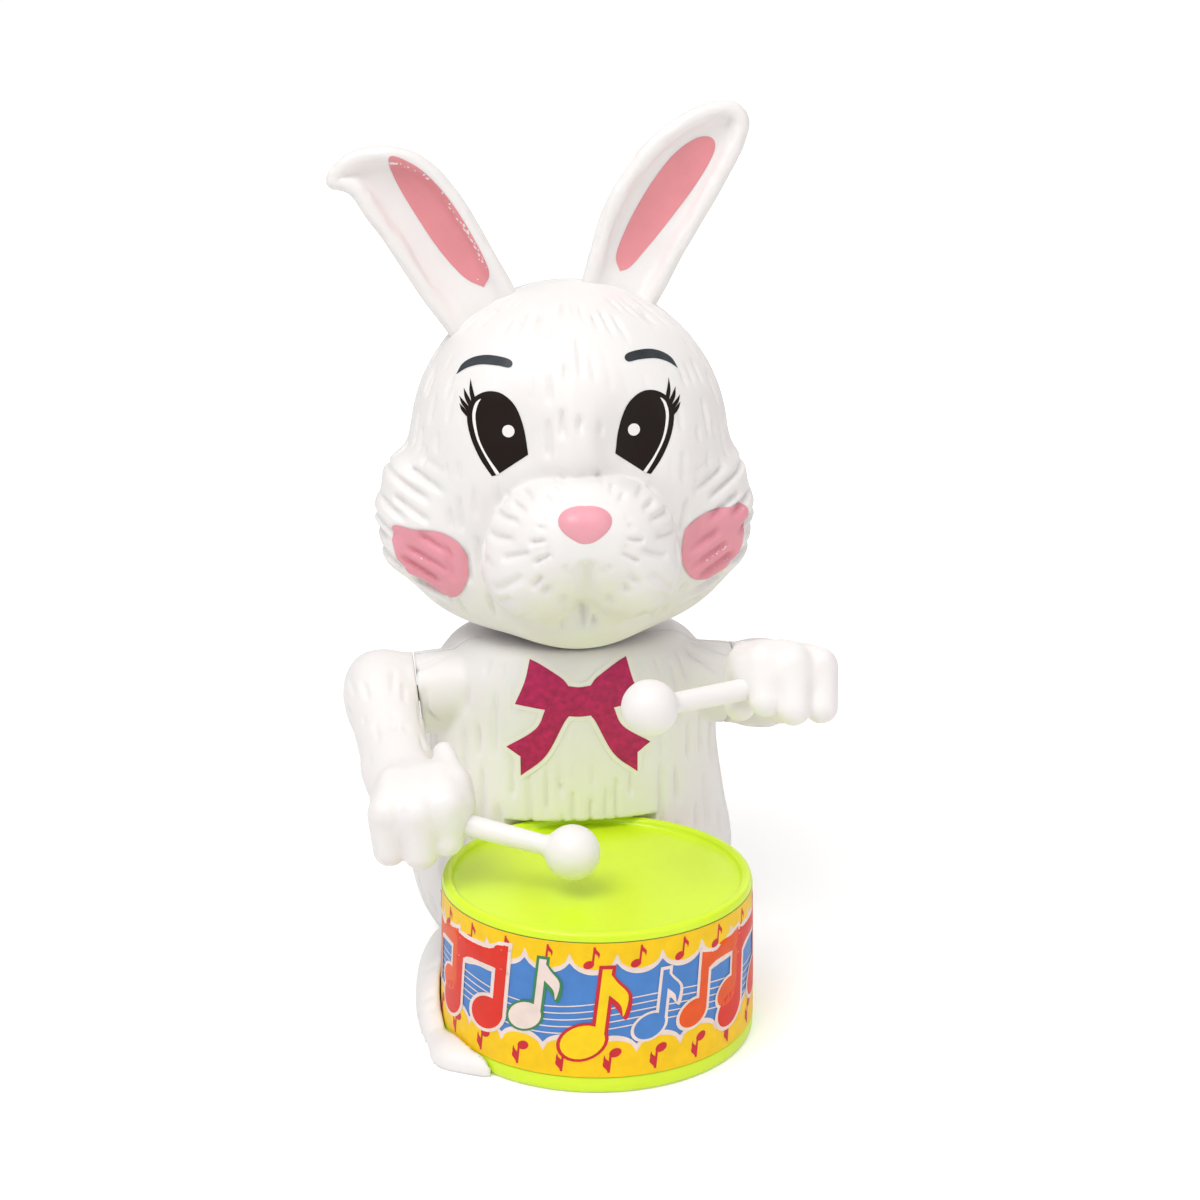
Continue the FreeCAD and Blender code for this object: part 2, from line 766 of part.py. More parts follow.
def make_ears():
    tabs = []
    for side, word, middle in ((-1, "right", -12.5), (1, "left", 8.5)):
        title = word.title()
        corners = [FreeCAD.Vector(x, 0, z) for x, z in ear_outline(side)]
        curve = Part.BSplineCurve()
        curve.interpolate(corners, PeriodicFlag=False)
        closing = Part.LineSegment(corners[-1], corners[0])
        face = Part.Face(Part.Wire([curve.toShape(), closing.toShape()]))
        leaf = doc.addObject("Part::Feature", title + "EarLeaf")
        leaf.Shape = face.extrude(FreeCAD.Vector(0, size("ear_thick"), 0))
        place(leaf, (0, "head_split - ear_thick / 2", 0))
        dome = solid("Sphere", title + "EarDome", (0, "head_back", "dome_height"),
                     Radius="dome_radius + 0.05")
        tab_box = (("%s - ear_tab_width / 2" % middle, "%s + ear_tab_width / 2" % middle),
                   ("head_split - ear_tab_thick / 2", "head_split + ear_tab_thick / 2"),
                   ("dome_height + 13", 99))
        tab = block(title + "EarTab", *tab_box)
        tabs.append(block(title + "EarTabSlot", *tab_box))
        node(fuse(title + "Ear", cut(title + "EarTrim", leaf, dome), tab), "ear_" + word)
    return tabs


def make_head():
    tabs = make_ears()
    posts = []
    bores = []
    head_bores = []
    for side, word in ((-1, "Right"), (1, "Left")):
        for level, height in (("Low", "head_screw_low"), ("High", "head_screw_high")):
            across = "%d * head_screw_side" % side
            posts.append(rod(word + level + "HeadPost", "screw_boss", -FAR, FAR, across,
                             height))
            bores.append(rod(word + level + "HeadBore", "screw_radius",
                             "head_split - head_screw_bite - 1", 50, across, height))
            head_bores.append(rod(word + level + "HeadSink",
                                  "screw_head_radius + screw_sink_gap",
                                  "head_split + head_screw_seat", 50, across, height))
    neck = post("Neck", "neck_radius", "neck_bottom", "cheek_height - neck_lap", 0,
                "body_middle")
    flange = post("NeckFlange", "neck_flange", "neck_bottom",
                  "neck_bottom + neck_flange_thick", 0, "body_middle")
    outside = fuse("HeadOutside", head_form("HeadForm", "0"), neck, flange)
    throat = post("Throat", "neck_radius - head_wall", "neck_bottom - 1", "cheek_height", 0,
                  "body_middle")
    hollow = cut("HeadHollow", fuse("HeadInside", head_form("HeadInner", "head_wall"), throat),
                 *posts)
    skin = cut("HeadSkin", outside, hollow, *bores, *tabs)
    front = block("HeadFrontLimits", (-FAR, FAR), (-FAR, "head_split"), (30, 130))
    rear = block("HeadRearLimits", (-FAR, FAR), ("head_split", FAR), (30, 130))
    node(common("HeadFront", skin, front), "head_front_shell")
    node(cut("HeadRear", common("HeadRearSkin", skin, rear), *head_bores), "head_rear_shell")


# ---- arms: each in its own frame, X outward along the shoulder axis ----

def arm_turn(side, angle):
    return (FreeCAD.Rotation(ALONG, side * size("shoulder_tilt"))
            * FreeCAD.Rotation(ACROSS, -angle))


def hang(piece, side, angle):
    """Put a piece made in the arm's frame on its shoulder, with the arm at this angle."""
    place(piece, ("%d * shoulder_side" % side, 0, "shoulder_height"), arm_turn(side, angle))


def arm_bar(name, side, radius, inner, outer):
    """A round bar on the shoulder axis, between two distances inward of the arm's middle."""
    start = "-(%s)" % inner if side > 0 else outer
    return solid("Cylinder", name, (start, 0, 0), TO_LEFT, Radius=radius,
                 Height="(%s) - (%s)" % (inner, outer))


def aimed(kind, name, start, end, **sizes):
    """A round piece whose length runs from start to end (plain numbers)."""
    start, end = FreeCAD.Vector(*start), FreeCAD.Vector(*end)
    piece = doc.addObject("Part::" + kind, name)
    bind(piece, **sizes)
    piece.Height = (end - start).Length
    piece.Placement = FreeCAD.Placement(start, FreeCAD.Rotation(UP, end - start))
    return piece


def make_arm(side, word, angle):
    title = word.title()
    reach, inset = size("arm_reach"), size("arm_inset")
    hand_at = (-side * inset, -reach, 0)
    ball_at = (-side * (inset + size("stick_inset")), -reach - size("stick_forward"),
               -size("stick_drop"))
    disc = arm_bar(title + "ArmDisc", side, "shoulder_radius", "shoulder_inner",
                   "-shoulder_outer")
    limb = aimed("Cone", title + "ArmLimb", (0, 0, 0), hand_at, Radius1="arm_thick",
                 Radius2="arm_thick - 0.6")
    hand = solid("Sphere", title + "Hand", (-side * inset, -reach, 0), Radius="hand_radius")
    grip = aimed("Cylinder", title + "GripBore", hand_at, ball_at, Radius="stick_radius")
    shaft_bore = arm_bar(title + "ArmBore", side, "shaft_radius", "shoulder_inner + 1",
                         "-shaft_outer")
    limb_trim = cut(title + "LimbTrimmed", limb, body_side(title, side))
    arm = cut(title + "Arm", fuse(title + "ArmWhole", disc, limb_trim, hand), grip, shaft_bore)
    hang(arm, side, angle)
    node(arm, "arm_" + word)
    stick = aimed("Cylinder", title + "StickRod", hand_at, ball_at, Radius="stick_radius")
    ball = solid("Sphere", title + "StickBall", ball_at, Radius="ball_radius")
    whole = fuse(title + "Stick", stick, ball)
    hang(whole, side, angle)
    node(whole, "drumstick_" + word)


def body_side(title, side):
    """The slab just inside an arm, which stays clear of the body."""
    inner = "shoulder_inner" if side < 0 else "-shoulder_inner - 10"
    return solid("Box", title + "ArmClear", (inner, -9, -10), Length="10", Width="20",
                 Height="20")


def make_shoulder(side, word, angle):
    title = word.title()
    turn = angle - size("arm_level_angle")
    shaft = group(title + "Shaft", [arm_bar(title + "ShaftBar", side, "shaft_radius",
                                            "shaft_inner", "-shaft_outer")])
    hang(shaft, side, angle)
    node(shaft, "shoulder_shaft_" + word)
    bush = cut(title + "Bush",
               fuse(title + "BushWhole",
                    arm_bar(title + "BushBody", side, "bush_radius", "bush_inner", "bush_outer"),
                    arm_bar(title + "BushLip", side, "bush_flange",
                            "bush_inner + bush_flange_thick", "bush_inner")),
               arm_bar(title + "BushBore", side, "shaft_radius + running_gap",
                       "bush_inner + 2", "bush_outer - 1"))
    hang(bush, side, 0)
    node(bush, "shoulder_bush_" + word)
    hub = arm_bar(title + "FingerHub", side, "finger_hub_radius",
                  "finger_side + finger_hub_length / 2", "finger_side - finger_hub_length / 2")
    lever = rod(title + "FingerRod", "finger_radius", "-finger_reach", 0,
                "%d * -finger_side" % side, 0)
    bore = arm_bar(title + "FingerBore", side, "shaft_radius", "finger_side + 3",
                   "finger_side - 3")
    finger = cut(title + "Finger", fuse(title + "FingerWhole", hub, lever), bore)
    hang(finger, side, turn)
    node(finger, "drive_finger_" + word)


# ---- bow sticker ----

def make_bow():
    """A thin sheet on the chest: two loops, a knot and two tails."""
    half = [(0.0, 44.6), (2.6, 45.4), (6.6, 48.0), (8.6, 47.0), (9.2, 43.2), (7.2, 40.2),
            (4.2, 39.8), (8.8, 36.0), (9.4, 31.2), (6.2, 31.6), (2.0, 37.6), (0.0, 39.6)]
    corners = half + [(-x, z) for x, z in reversed(half[1:-1])]
    points = [FreeCAD.Vector(x, 0, z) for x, z in corners]
    prism = doc.addObject("Part::Feature", "BowPrism")
    prism.Shape = Part.Face(Part.makePolygon(points + points[:1])).extrude(ALONG * 15)
    place(prism, (0, -20, 0))
    sheet_space = cut("BowSheet", oval_stack("BowOutside", "-sticker_thick", "0", "body_top"),
                      oval_stack("BowInside", "0", "0", "body_top"))
    node(common("Bow", prism, sheet_space), "bow_sticker")


# ---- clockwork frame ----

def plate(label, face, with_tab):
    body = upright_body(label.title().replace("_", ""), face)
    sketch = sketch_in(body, body.Name + "Outline")
    side, tab = "plate_half_width", "plate_tab_half"
    corners = [("-" + side, "plate_bottom"), (side, "plate_bottom"), (side, "plate_top")]
    if with_tab:
        corners += [(tab, "plate_top"), (tab, "plate_tab_top"),
                    ("-" + tab, "plate_tab_top"), ("-" + tab, "plate_top")]
    corners.append(("-" + side, "plate_top"))
    outline(sketch, corners)
    circle(sketch, 0, "winder_height", "winder_radius + running_gap")
    for across, height in (("second_side", "second_height"), (0, "crank_height"),
                           ("governor_side", "governor_height")):
        circle(sketch, across, height, "arbor_radius + running_gap")
    for side_sign in ("-", ""):
        for height in ("pillar_low", "pillar_high"):
            circle(sketch, side_sign + "pillar_side", height, "pillar_tip")
        if not with_tab:
            circle(sketch, side_sign + "mount_side", "mount_height", "screw_radius")
    if with_tab:
        circle(sketch, 0, "rocker_height", "stud_radius")
    pad(body, sketch, "plate_thick")
    node(body, label)


def make_clockwork_frame():
    plate("front_plate", "front_plate_face", True)
    plate("rear_plate", "rear_plate_face", False)
    pillars, screws, mounts = [], [], []
    inside = "front_plate_face + plate_thick"
    for side, word in ((-1, "Right"), (1, "Left")):
        across = "%d * pillar_side" % side
        for level, height in (("Low", "pillar_low"), ("High", "pillar_high")):
            name = word + level
            pillar = fuse(name + "Pillar",
                          rod(name + "PillarBody", "pillar_radius", inside,
                              "rear_plate_face", across, height),
                          rod(name + "PillarTip", "pillar_tip", "rear_plate_face",
                              "rear_plate_face + plate_thick + pillar_rivet",
                              across, height))
            thread = rod(name + "PillarThread", "pillar_tip", "front_plate_face",
                         inside + " + plate_screw_bite + 0.1", across, height)
            pillars.append(cut(name + "PillarCut", pillar, thread))
            screws.append(fuse(name + "PlateScrew",
                               rod(name + "PlateScrewHead", "screw_head_radius",
                                   "front_plate_face - plate_screw_head", "front_plate_face",
                                   across, height),
                               rod(name + "PlateScrewShank", "pillar_tip",
                                   "front_plate_face - head_overlap",
                                   inside + " + plate_screw_bite",
                                   across, height)))
        across = "%d * mount_side" % side
        mounts.append(fuse(word + "MountScrew",
                           rod(word + "MountScrewHead", "screw_head_radius",
                               "rear_plate_face - mount_screw_head", "rear_plate_face",
                               across, "mount_height"),
                           rod(word + "MountScrewShank", "screw_radius",
                               "rear_plate_face - head_overlap", "mount_screw_tip",
                               across, "mount_height")))
    node(group("PlatePillars", pillars), "plate_pillars")
    node(group("PlateScrews", screws), "plate_screws")
    node(group("MovementScrews", mounts), "movement_screws")


# ---- wheel train ----

def make_mainspring():
    """A flat spiral of half-turn arcs, then a straight run out to a pillar."""
    strip, pitch = size("spring_strip"), size("spring_pitch")
    radius, turns = size("spring_inner"), int(size("spring_turns"))
    inner, outer = [], []
    for half in range(2 * turns):
        shift = 0 if half % 2 == 0 else pitch / 2
        lift = -1 if half % 2 == 0 else 1
        start = 1 if half % 2 == 0 else -1
        for extra, edges in ((0, inner), (strip, outer)):
            reach = radius + extra
            edges.append(Part.Arc(
                FreeCAD.Vector(shift + start * reach, 0, 0),
                FreeCAD.Vector(shift, 0, lift * reach),
                FreeCAD.Vector(shift - start * reach, 0, 0)).toShape())
        radius += pitch / 2
    tip = FreeCAD.Vector(size("pillar_side"), 0, size("pillar_low") - size("winder_height"))
    inner_end = inner[-1].Vertexes[-1].Point
    outer_end = outer[-1].Vertexes[-1].Point
    away = (tip - outer_end).normalize()
    tip_near = tip - away * (size("pillar_radius") + 0.02)
    beside = FreeCAD.Vector(away.z, 0, -away.x) * strip
    loop = [Part.LineSegment(inner_end, tip_near + beside).toShape(),
            Part.LineSegment(tip_near + beside, tip_near).toShape(),
            Part.LineSegment(tip_near, outer_end).toShape(),
            Part.LineSegment(inner[0].Vertexes[0].Point, outer[0].Vertexes[0].Point).toShape()]
    wire = Part.Wire(Part.__sortEdges__(inner + outer + loop))
    spring = doc.addObject("Part::Feature", "Mainspring")
    spring.Shape = Part.Face(wire).extrude(ALONG * size("spring_width"))
    place(spring, (0, "spring_face", "winder_height"))
    node(spring, "mainspring")


def make_train():
    coarse, fine = size("coarse_module"), size("fine_module")
    great, second = int(size("great_teeth")), int(size("second_teeth"))
    third = int(size("third_teeth"))
    pinion_2, pinion_3 = int(size("second_pinion_teeth")), int(size("third_pinion_teeth"))
    pinion_4 = int(size("governor_teeth"))
    to_second = math.degrees(math.atan2(size("second_height") - size("winder_height"),
                                        size("second_side")))
    to_crank = math.degrees(math.atan2(size("crank_height") - size("second_height"),
                                       -size("second_side")))
    to_governor = size("governor_direction")
    first_angle = 0.0
    toothed_wheel("great_wheel", great, coarse, "winder_radius", "great_face", "great_thick",
                  0, "winder_height", first_angle)
    toothed_wheel("second_pinion", pinion_2, coarse, "arbor_radius", "great_face - pinion_lap",
                  "pinion_thick", "second_side", "second_height",
                  mating_angle(great, first_angle, pinion_2, to_second))
    toothed_wheel("second_wheel", second, fine, "arbor_radius", "second_face", "wheel_thick",
                  "second_side", "second_height", first_angle)
    toothed_wheel("third_pinion", pinion_3, fine, "arbor_radius", "second_face - pinion_lap",
                  "wheel_thick + 2 * pinion_lap", 0, "crank_height",
                  mating_angle(second, first_angle, pinion_3, to_crank))
    toothed_wheel("third_wheel", third, fine, "arbor_radius", "third_face", "wheel_thick",
                  0, "crank_height", first_angle)
    toothed_wheel("governor_pinion", pinion_4, fine, "arbor_radius", "third_face - pinion_lap",
                  "wheel_thick + 2 * pinion_lap", "governor_side", "governor_height",
                  mating_angle(third, first_angle, pinion_4, to_governor))
    front = "front_plate_face - arbor_end"
    back = "rear_plate_face + plate_thick + arbor_end"
    node(rod("WindingArbor", "winder_radius", front, "key_stem_end - 1", 0,
             "winder_height"), "winding_arbor")
    node(rod("SecondArbor", "arbor_radius", front, back, "second_side", "second_height"),
         "second_arbor")
    node(rod("CrankArbor", "arbor_radius", "crank_face", back, 0, "crank_height"),
         "crank_arbor")
    node(rod("GovernorArbor", "arbor_radius", front, back, "governor_side",
             "governor_height"), "governor_arbor")


def make_governor():
    at = ("governor_side", "governor_height")
    hub = rod("RotorHub", "rotor_hub_radius", "rotor_face", "rotor_face + rotor_thick", *at)
    wings = block("RotorWings", ("governor_side - rotor_radius", "governor_side + rotor_radius"),
                  ("rotor_face", "rotor_face + rotor_thick"),
                  ("governor_height - rotor_lobe_half", "governor_height + rotor_lobe_half"))
    rim = rod("RotorRim", "rotor_radius", "rotor_face", "rotor_face + rotor_thick", *at)
    bore = rod("RotorBore", "arbor_radius", "rotor_face - 1", "rotor_face + rotor_thick + 1",
               *at)
    node(cut("GovernorRotor", fuse("RotorWhole", hub, common("RotorLobes", wings, rim)), bore),
         "governor_rotor")


# ---- crank and rocker ----

def make_crank():
    disc = rod("CrankDiscBody", "crank_disc_radius", "crank_face",
               "crank_face + crank_disc_thick", 0, "crank_height")
    bore = rod("CrankDiscBore", "arbor_radius", "crank_face - 1",
               "crank_face + crank_disc_thick + 1", 0, "crank_height")
    pin_at = ("crank_pin_side", "crank_pin_height")
    pin_bore = rod("CrankPinBore", "crank_pin_radius", "crank_face - 1",
                   "crank_face + crank_disc_thick + 1", *pin_at)
    node(cut("CrankDisc", disc, bore, pin_bore), "crank_disc")
    node(rod("CrankPin", "crank_pin_radius", "rocker_face + rocker_thick + pin_end_gap",
             "crank_face + crank_disc_thick", *pin_at), "crank_pin")


def make_rocker():
    body = upright_body("Rocker", "rocker_face", 0, "rocker_height")
    sketch = sketch_in(body, "RockerOutline")
    arm, rise, tail = "rocker_arm + rocker_end", "rocker_half_rise", "-rocker_tail"
    outline(sketch, [("-(%s)" % arm, "-" + rise), ("-" + rise, "-" + rise),
                     ("-" + rise, tail), (rise, tail), (rise, "-" + rise),
                     (arm, "-" + rise), (arm, rise), ("-(%s)" % arm, rise)])
    circle(sketch, 0, 0, "rocker_bore")
    for side in (-1, 1):
        window(sketch, "%d * rocker_arm" % side, "0", "rocker_window_side",
               "rocker_window_rise")
    window(sketch, "0", "-(rocker_tail - rocker_slot_reach - 0.7)", "rocker_slot_half",
           "rocker_slot_reach")
    pad(body, sketch, "rocker_thick")
    place(body, (0, "rocker_face", "rocker_height"),
          FreeCAD.Rotation(ALONG, -size("rocker_rest_angle")))
    node(body, "rocker")
    stud = fuse("RockerStud",
                rod("StudBody", "stud_radius", "rocker_face - 1.2",
                    "front_plate_face + plate_thick", 0, "rocker_height"),
                rod("StudShoulder", "stud_radius + stud_shoulder",
                    "rocker_face + rocker_thick + 0.1",
                    "front_plate_face", 0, "rocker_height"))
    node(stud, "rocker_stud")
    node(cut("RockerClip",
             rod("ClipRing", "stud_radius + clip_width", "rocker_face - 0.8", "rocker_face - 0.1",
                 0, "rocker_height"),
             rod("ClipBore", "stud_radius", "rocker_face - 2", "rocker_face + 1",
                 0, "rocker_height")), "rocker_clip")


def window(sketch, across, upward, half_width, half_height):
    """A rectangular opening round a centre."""
    left, right = "%s - %s" % (across, half_width), "%s + %s" % (across, half_width)
    low, high = "%s - %s" % (upward, half_height), "%s + %s" % (upward, half_height)
    outline(sketch, [(left, low), (right, low), (right, high), (left, high)])


# ---- key ----

def make_key():
    bottom, top = "winder_height - key_thick / 2", "winder_height + key_thick / 2"
    stem = rod("KeyStem", "key_stem_radius", "key_stem_start", "key_stem_end", 0,
               "winder_height")
    bridge = block("KeyBridge", ("-key_wing_spread", "key_wing_spread"),
                   ("key_wing_back - key_wing_radius", "key_wing_back + 2.5"), (bottom, top))
    wings, holes = [], []
    for side, word in ((-1, "Right"), (1, "Left")):
        at = ("%d * key_wing_spread" % side, "key_wing_back")
        wings.append(post(word + "KeyWing", "key_wing_radius", bottom, top, *at))
        holes.append(post(word + "KeyHole", "key_wing_hole", 0, 40, *at))
    bore = rod("KeyBore", "winder_radius", "key_stem_start - 1", "key_stem_end - 1", 0,
               "winder_height")
    node(cut("Key", fuse("KeyWhole", stem, bridge, *wings), bore, *holes), "winding_key")


# ---- places that follow from the driving sizes ----

def add_derived_sizes():
    first = size("coarse_module") * (size("great_teeth") + size("second_pinion_teeth")) / 2
    second = size("fine_module") * (size("second_teeth") + size("third_pinion_teeth")) / 2
    third = size("fine_module") * (size("third_teeth") + size("governor_teeth")) / 2
    rise = size("crank_height") - size("winder_height")
    from_upright = math.acos((first ** 2 + rise ** 2 - second ** 2) / (2 * first * rise))
    add_cell("second_side", -first * math.sin(from_upright))
    add_cell("second_height", size("winder_height") + first * math.cos(from_upright))
    direction = math.radians(size("governor_direction"))
    add_cell("governor_side", third * math.cos(direction))
    add_cell("governor_height", size("crank_height") + third * math.sin(direction))
    finger = -size("rocker_face") - size("rocker_thick") / 2
    swing = math.radians((size("arm_high_angle") - size("arm_low_angle")) / 2)
    rest = math.asin(finger * math.tan(swing) / size("rocker_arm"))
    widest = rest * size("crank_over_travel")
    tail = size("rocker_height") - size("crank_height")
    throw = tail * math.sin(widest)
    across = tail * math.sin(rest)
    add_cell("rocker_rest_angle", math.degrees(rest))
    add_cell("rocker_tail", tail + throw + size("rocker_tail_end"))
    add_cell("crank_pin_side", across)
    add_cell("crank_pin_height", size("crank_height") - math.sqrt(throw ** 2 - across ** 2))


add_derived_sizes()
doc.recompute()
make_body_shells()
make_base()
make_screws()
make_drum()
make_feet()
make_head()
make_bow()
make_clockwork_frame()
make_mainspring()
make_train()
make_governor()
make_crank()
make_rocker()
make_key()
for side, word, angle in ((-1, "right", size("arm_low_angle")),
                          (1, "left", size("arm_high_angle"))):
    make_arm(side, word, angle)
    make_shoulder(side, word, angle)
doc.recompute()
for piece in doc.Objects:
    if "Invalid" in piece.State or "Error" in piece.State:
        raise RuntimeError("%s failed: %s" % (piece.Name, piece.getStatusString()))
for label, piece in nodes.items():
    if piece.Shape.isNull() or not piece.Shape.isValid() or not piece.Shape.Solids:
        raise RuntimeError("the shape of %s is not sound" % label)
for label, piece in nodes.items():
    piece.Shape.exportStep("parts/%s.step" % label)
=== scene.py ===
import json
import math
import bpy
import bmesh
import numpy as np
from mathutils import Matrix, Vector
from mathutils.bvhtree import BVHTree
from mathutils.geometry import delaunay_2d_cdt


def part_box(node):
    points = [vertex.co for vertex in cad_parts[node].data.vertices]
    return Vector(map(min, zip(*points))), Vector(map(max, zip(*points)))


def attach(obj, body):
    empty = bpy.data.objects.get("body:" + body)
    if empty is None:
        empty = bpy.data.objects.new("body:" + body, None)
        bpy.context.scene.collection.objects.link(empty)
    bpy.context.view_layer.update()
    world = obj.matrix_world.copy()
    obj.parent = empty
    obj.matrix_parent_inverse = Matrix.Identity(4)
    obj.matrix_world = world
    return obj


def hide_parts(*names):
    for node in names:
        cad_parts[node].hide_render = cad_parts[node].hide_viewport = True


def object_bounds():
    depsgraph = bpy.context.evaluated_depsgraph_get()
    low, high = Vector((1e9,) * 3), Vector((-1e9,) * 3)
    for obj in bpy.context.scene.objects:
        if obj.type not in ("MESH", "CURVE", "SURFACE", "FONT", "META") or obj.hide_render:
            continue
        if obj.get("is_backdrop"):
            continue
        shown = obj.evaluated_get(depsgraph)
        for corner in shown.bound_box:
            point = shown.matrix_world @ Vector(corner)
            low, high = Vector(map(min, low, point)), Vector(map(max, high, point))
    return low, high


# The looks of the clockwork rabbit. Shapes are worked out in millimetres, in the frame's axes
# (+Z up, the toy faces -Y, +X is its own left), and turned into metres when a mesh is made.

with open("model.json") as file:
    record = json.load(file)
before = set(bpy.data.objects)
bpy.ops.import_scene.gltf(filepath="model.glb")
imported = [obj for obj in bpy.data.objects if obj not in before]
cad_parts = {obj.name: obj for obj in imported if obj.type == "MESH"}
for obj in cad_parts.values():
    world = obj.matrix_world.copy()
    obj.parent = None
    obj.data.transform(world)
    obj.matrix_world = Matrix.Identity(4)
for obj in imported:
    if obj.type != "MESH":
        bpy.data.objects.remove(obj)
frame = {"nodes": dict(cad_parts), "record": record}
cad_box = [list(corner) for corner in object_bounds()]
MM = 0.001
ROOT = "shell"
SEAM_GAP = 0.06         # each half of a moulding stops this short of its seam
GROUND_GAP = 0.02
HEAD_WALL = 1.7
BODY_WALL = 1.6
SHOULDER_LEAN = math.radians(5.5)
SHOULDER_R = 6.2        # of the body's boss and of the arm's collar that turns against it
ARM_FACE = 4.6          # from the shoulder's middle to the arm's flat face
BOSS_FACE = 4.75        # and to the end of the body's boss
FOOT_DRAWN_IN = 1.6     # the left foot only
FOOT_FRONT = 44.6       # of a foot that isn't drawn back
KEY_HOLE_R = 2.2


def box_mm(*nodes):
    """Lowest and highest corner of some CAD nodes together, in millimetres."""
    lows, highs = zip(*(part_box(node) for node in nodes))
    return np.min(lows, axis=0) / MM, np.max(highs, axis=0) / MM


# ---- places from the frame ----

drum_low, drum_high = box_mm("drum_shell")
DRUM = (drum_low + drum_high) / 2
DRUM_R = (drum_high[0] - drum_low[0]) / 2
DRUM_TOP = drum_high[2]
label_low, label_high = box_mm("drum_label")
head_low, head_high = box_mm("head_front_shell", "head_rear_shell")
HEAD_SEAM = box_mm("head_front_shell")[1][1]
DOME_R = 23.5
DOME = np.array([0.0, head_high[1] - DOME_R, head_high[2] - DOME_R])
CHEEK_HALF = (head_high[0] - head_low[0]) / 2
MUZZLE = np.array([0.0, head_low[1] + 13.0, DOME[2] - 11.9])
BODY_TOP = box_mm("body_front_shell", "body_rear_shell")[1][2]
joints = {joint["name"]: joint for joint in frame["record"]["behaviour"]["joints"]}


def joint_spot(name):
    return np.array(joints[name]["pos_m"]) / MM


# ---- solid shapes as distance fields: each takes points (X, Y, Z) and gives the distance ----

def ball(p, centre, radius):
    return np.sqrt(sum((p[i] - centre[i]) ** 2 for i in range(3))) - radius


def egg(p, centre, radii, power=2.0):
    """An ellipsoid, or with a higher power a fuller, squarer one."""
    parts = [np.abs(p[i] - centre[i]) / radii[i] for i in range(3)]
    reach = sum(part ** power for part in parts) ** (1 / power)
    return (reach - 1) * min(radii) * (0.35 + 0.65 / np.maximum(reach, 0.5))


def limb(p, start, end, start_radius, end_radius):
    """A round bar with round ends whose thickness changes evenly."""
    start, end = np.asarray(start, float), np.asarray(end, float)
    along = end - start
    share = sum((p[i] - start[i]) * along[i] for i in range(3)) / (along @ along)
    share = np.clip(share, 0, 1)
    gap = np.sqrt(sum((p[i] - start[i] - along[i] * share) ** 2 for i in range(3)))
    return gap - (start_radius + (end_radius - start_radius) * share)


def round_bar(a, b, radius):
    """A bar without ends, square to the two distances a and b."""
    return np.sqrt(a ** 2 + b ** 2) - radius


def join(a, b, soft):
    """Two shapes as one, with the corner between them filled by about soft."""
    share = np.clip(0.5 + 0.5 * (b - a) / soft, 0, 1)
    return b + (a - b) * share - soft * share * (1 - share)


def cut_out(a, b, soft):
    """The first shape without the second."""
    return -join(-a, b, soft)


def in_both(a, b, soft):
    return -join(-a, -b, soft)


def hollow(outer, core, wall):
    return np.maximum(outer, -(core + wall))


def ramp(value, low, high):
    """0 below low, 1 above high, smooth between."""
    share = np.clip((value - low) / (high - low), 0, 1)
    return share * share * (3 - 2 * share)


def shuffle(number, seed):
    """A steady pseudo-random value from 0 to 1 for each whole number."""
    return np.abs(np.sin(number * 12.9898 + seed * 78.233) * 43758.5453) % 1.0


def strokes(across, along, spacing, length, width, seed, fill=0.6, lean=0.25):
    """Carved hair strokes: how much of a groove there is at each place, from 0 to 1."""
    column = np.floor(across / spacing)
    slide = shuffle(column, seed) * length
    row = np.floor((along + slide) / length)
    spot = (along + slide) / length - row
    wander = (shuffle(column * 3.1 + row * 7.7, seed + 1) - 0.5) * 0.5
    slant = (shuffle(column * 1.7 + row * 5.3, seed + 2) - 0.5) * lean
    middle = (column + 0.5 + wander + slant * (spot - 0.5)) * spacing
    here = np.exp(-((across - middle) / width) ** 2)
    share = fill * (0.6 + 0.8 * shuffle(column * 2.3 + row * 3.9, seed + 3))
    return here * ramp(spot, 0.02, 0.22) * (1 - ramp(spot, share - 0.18, share + 0.04))


def cell_size(full):
    return full


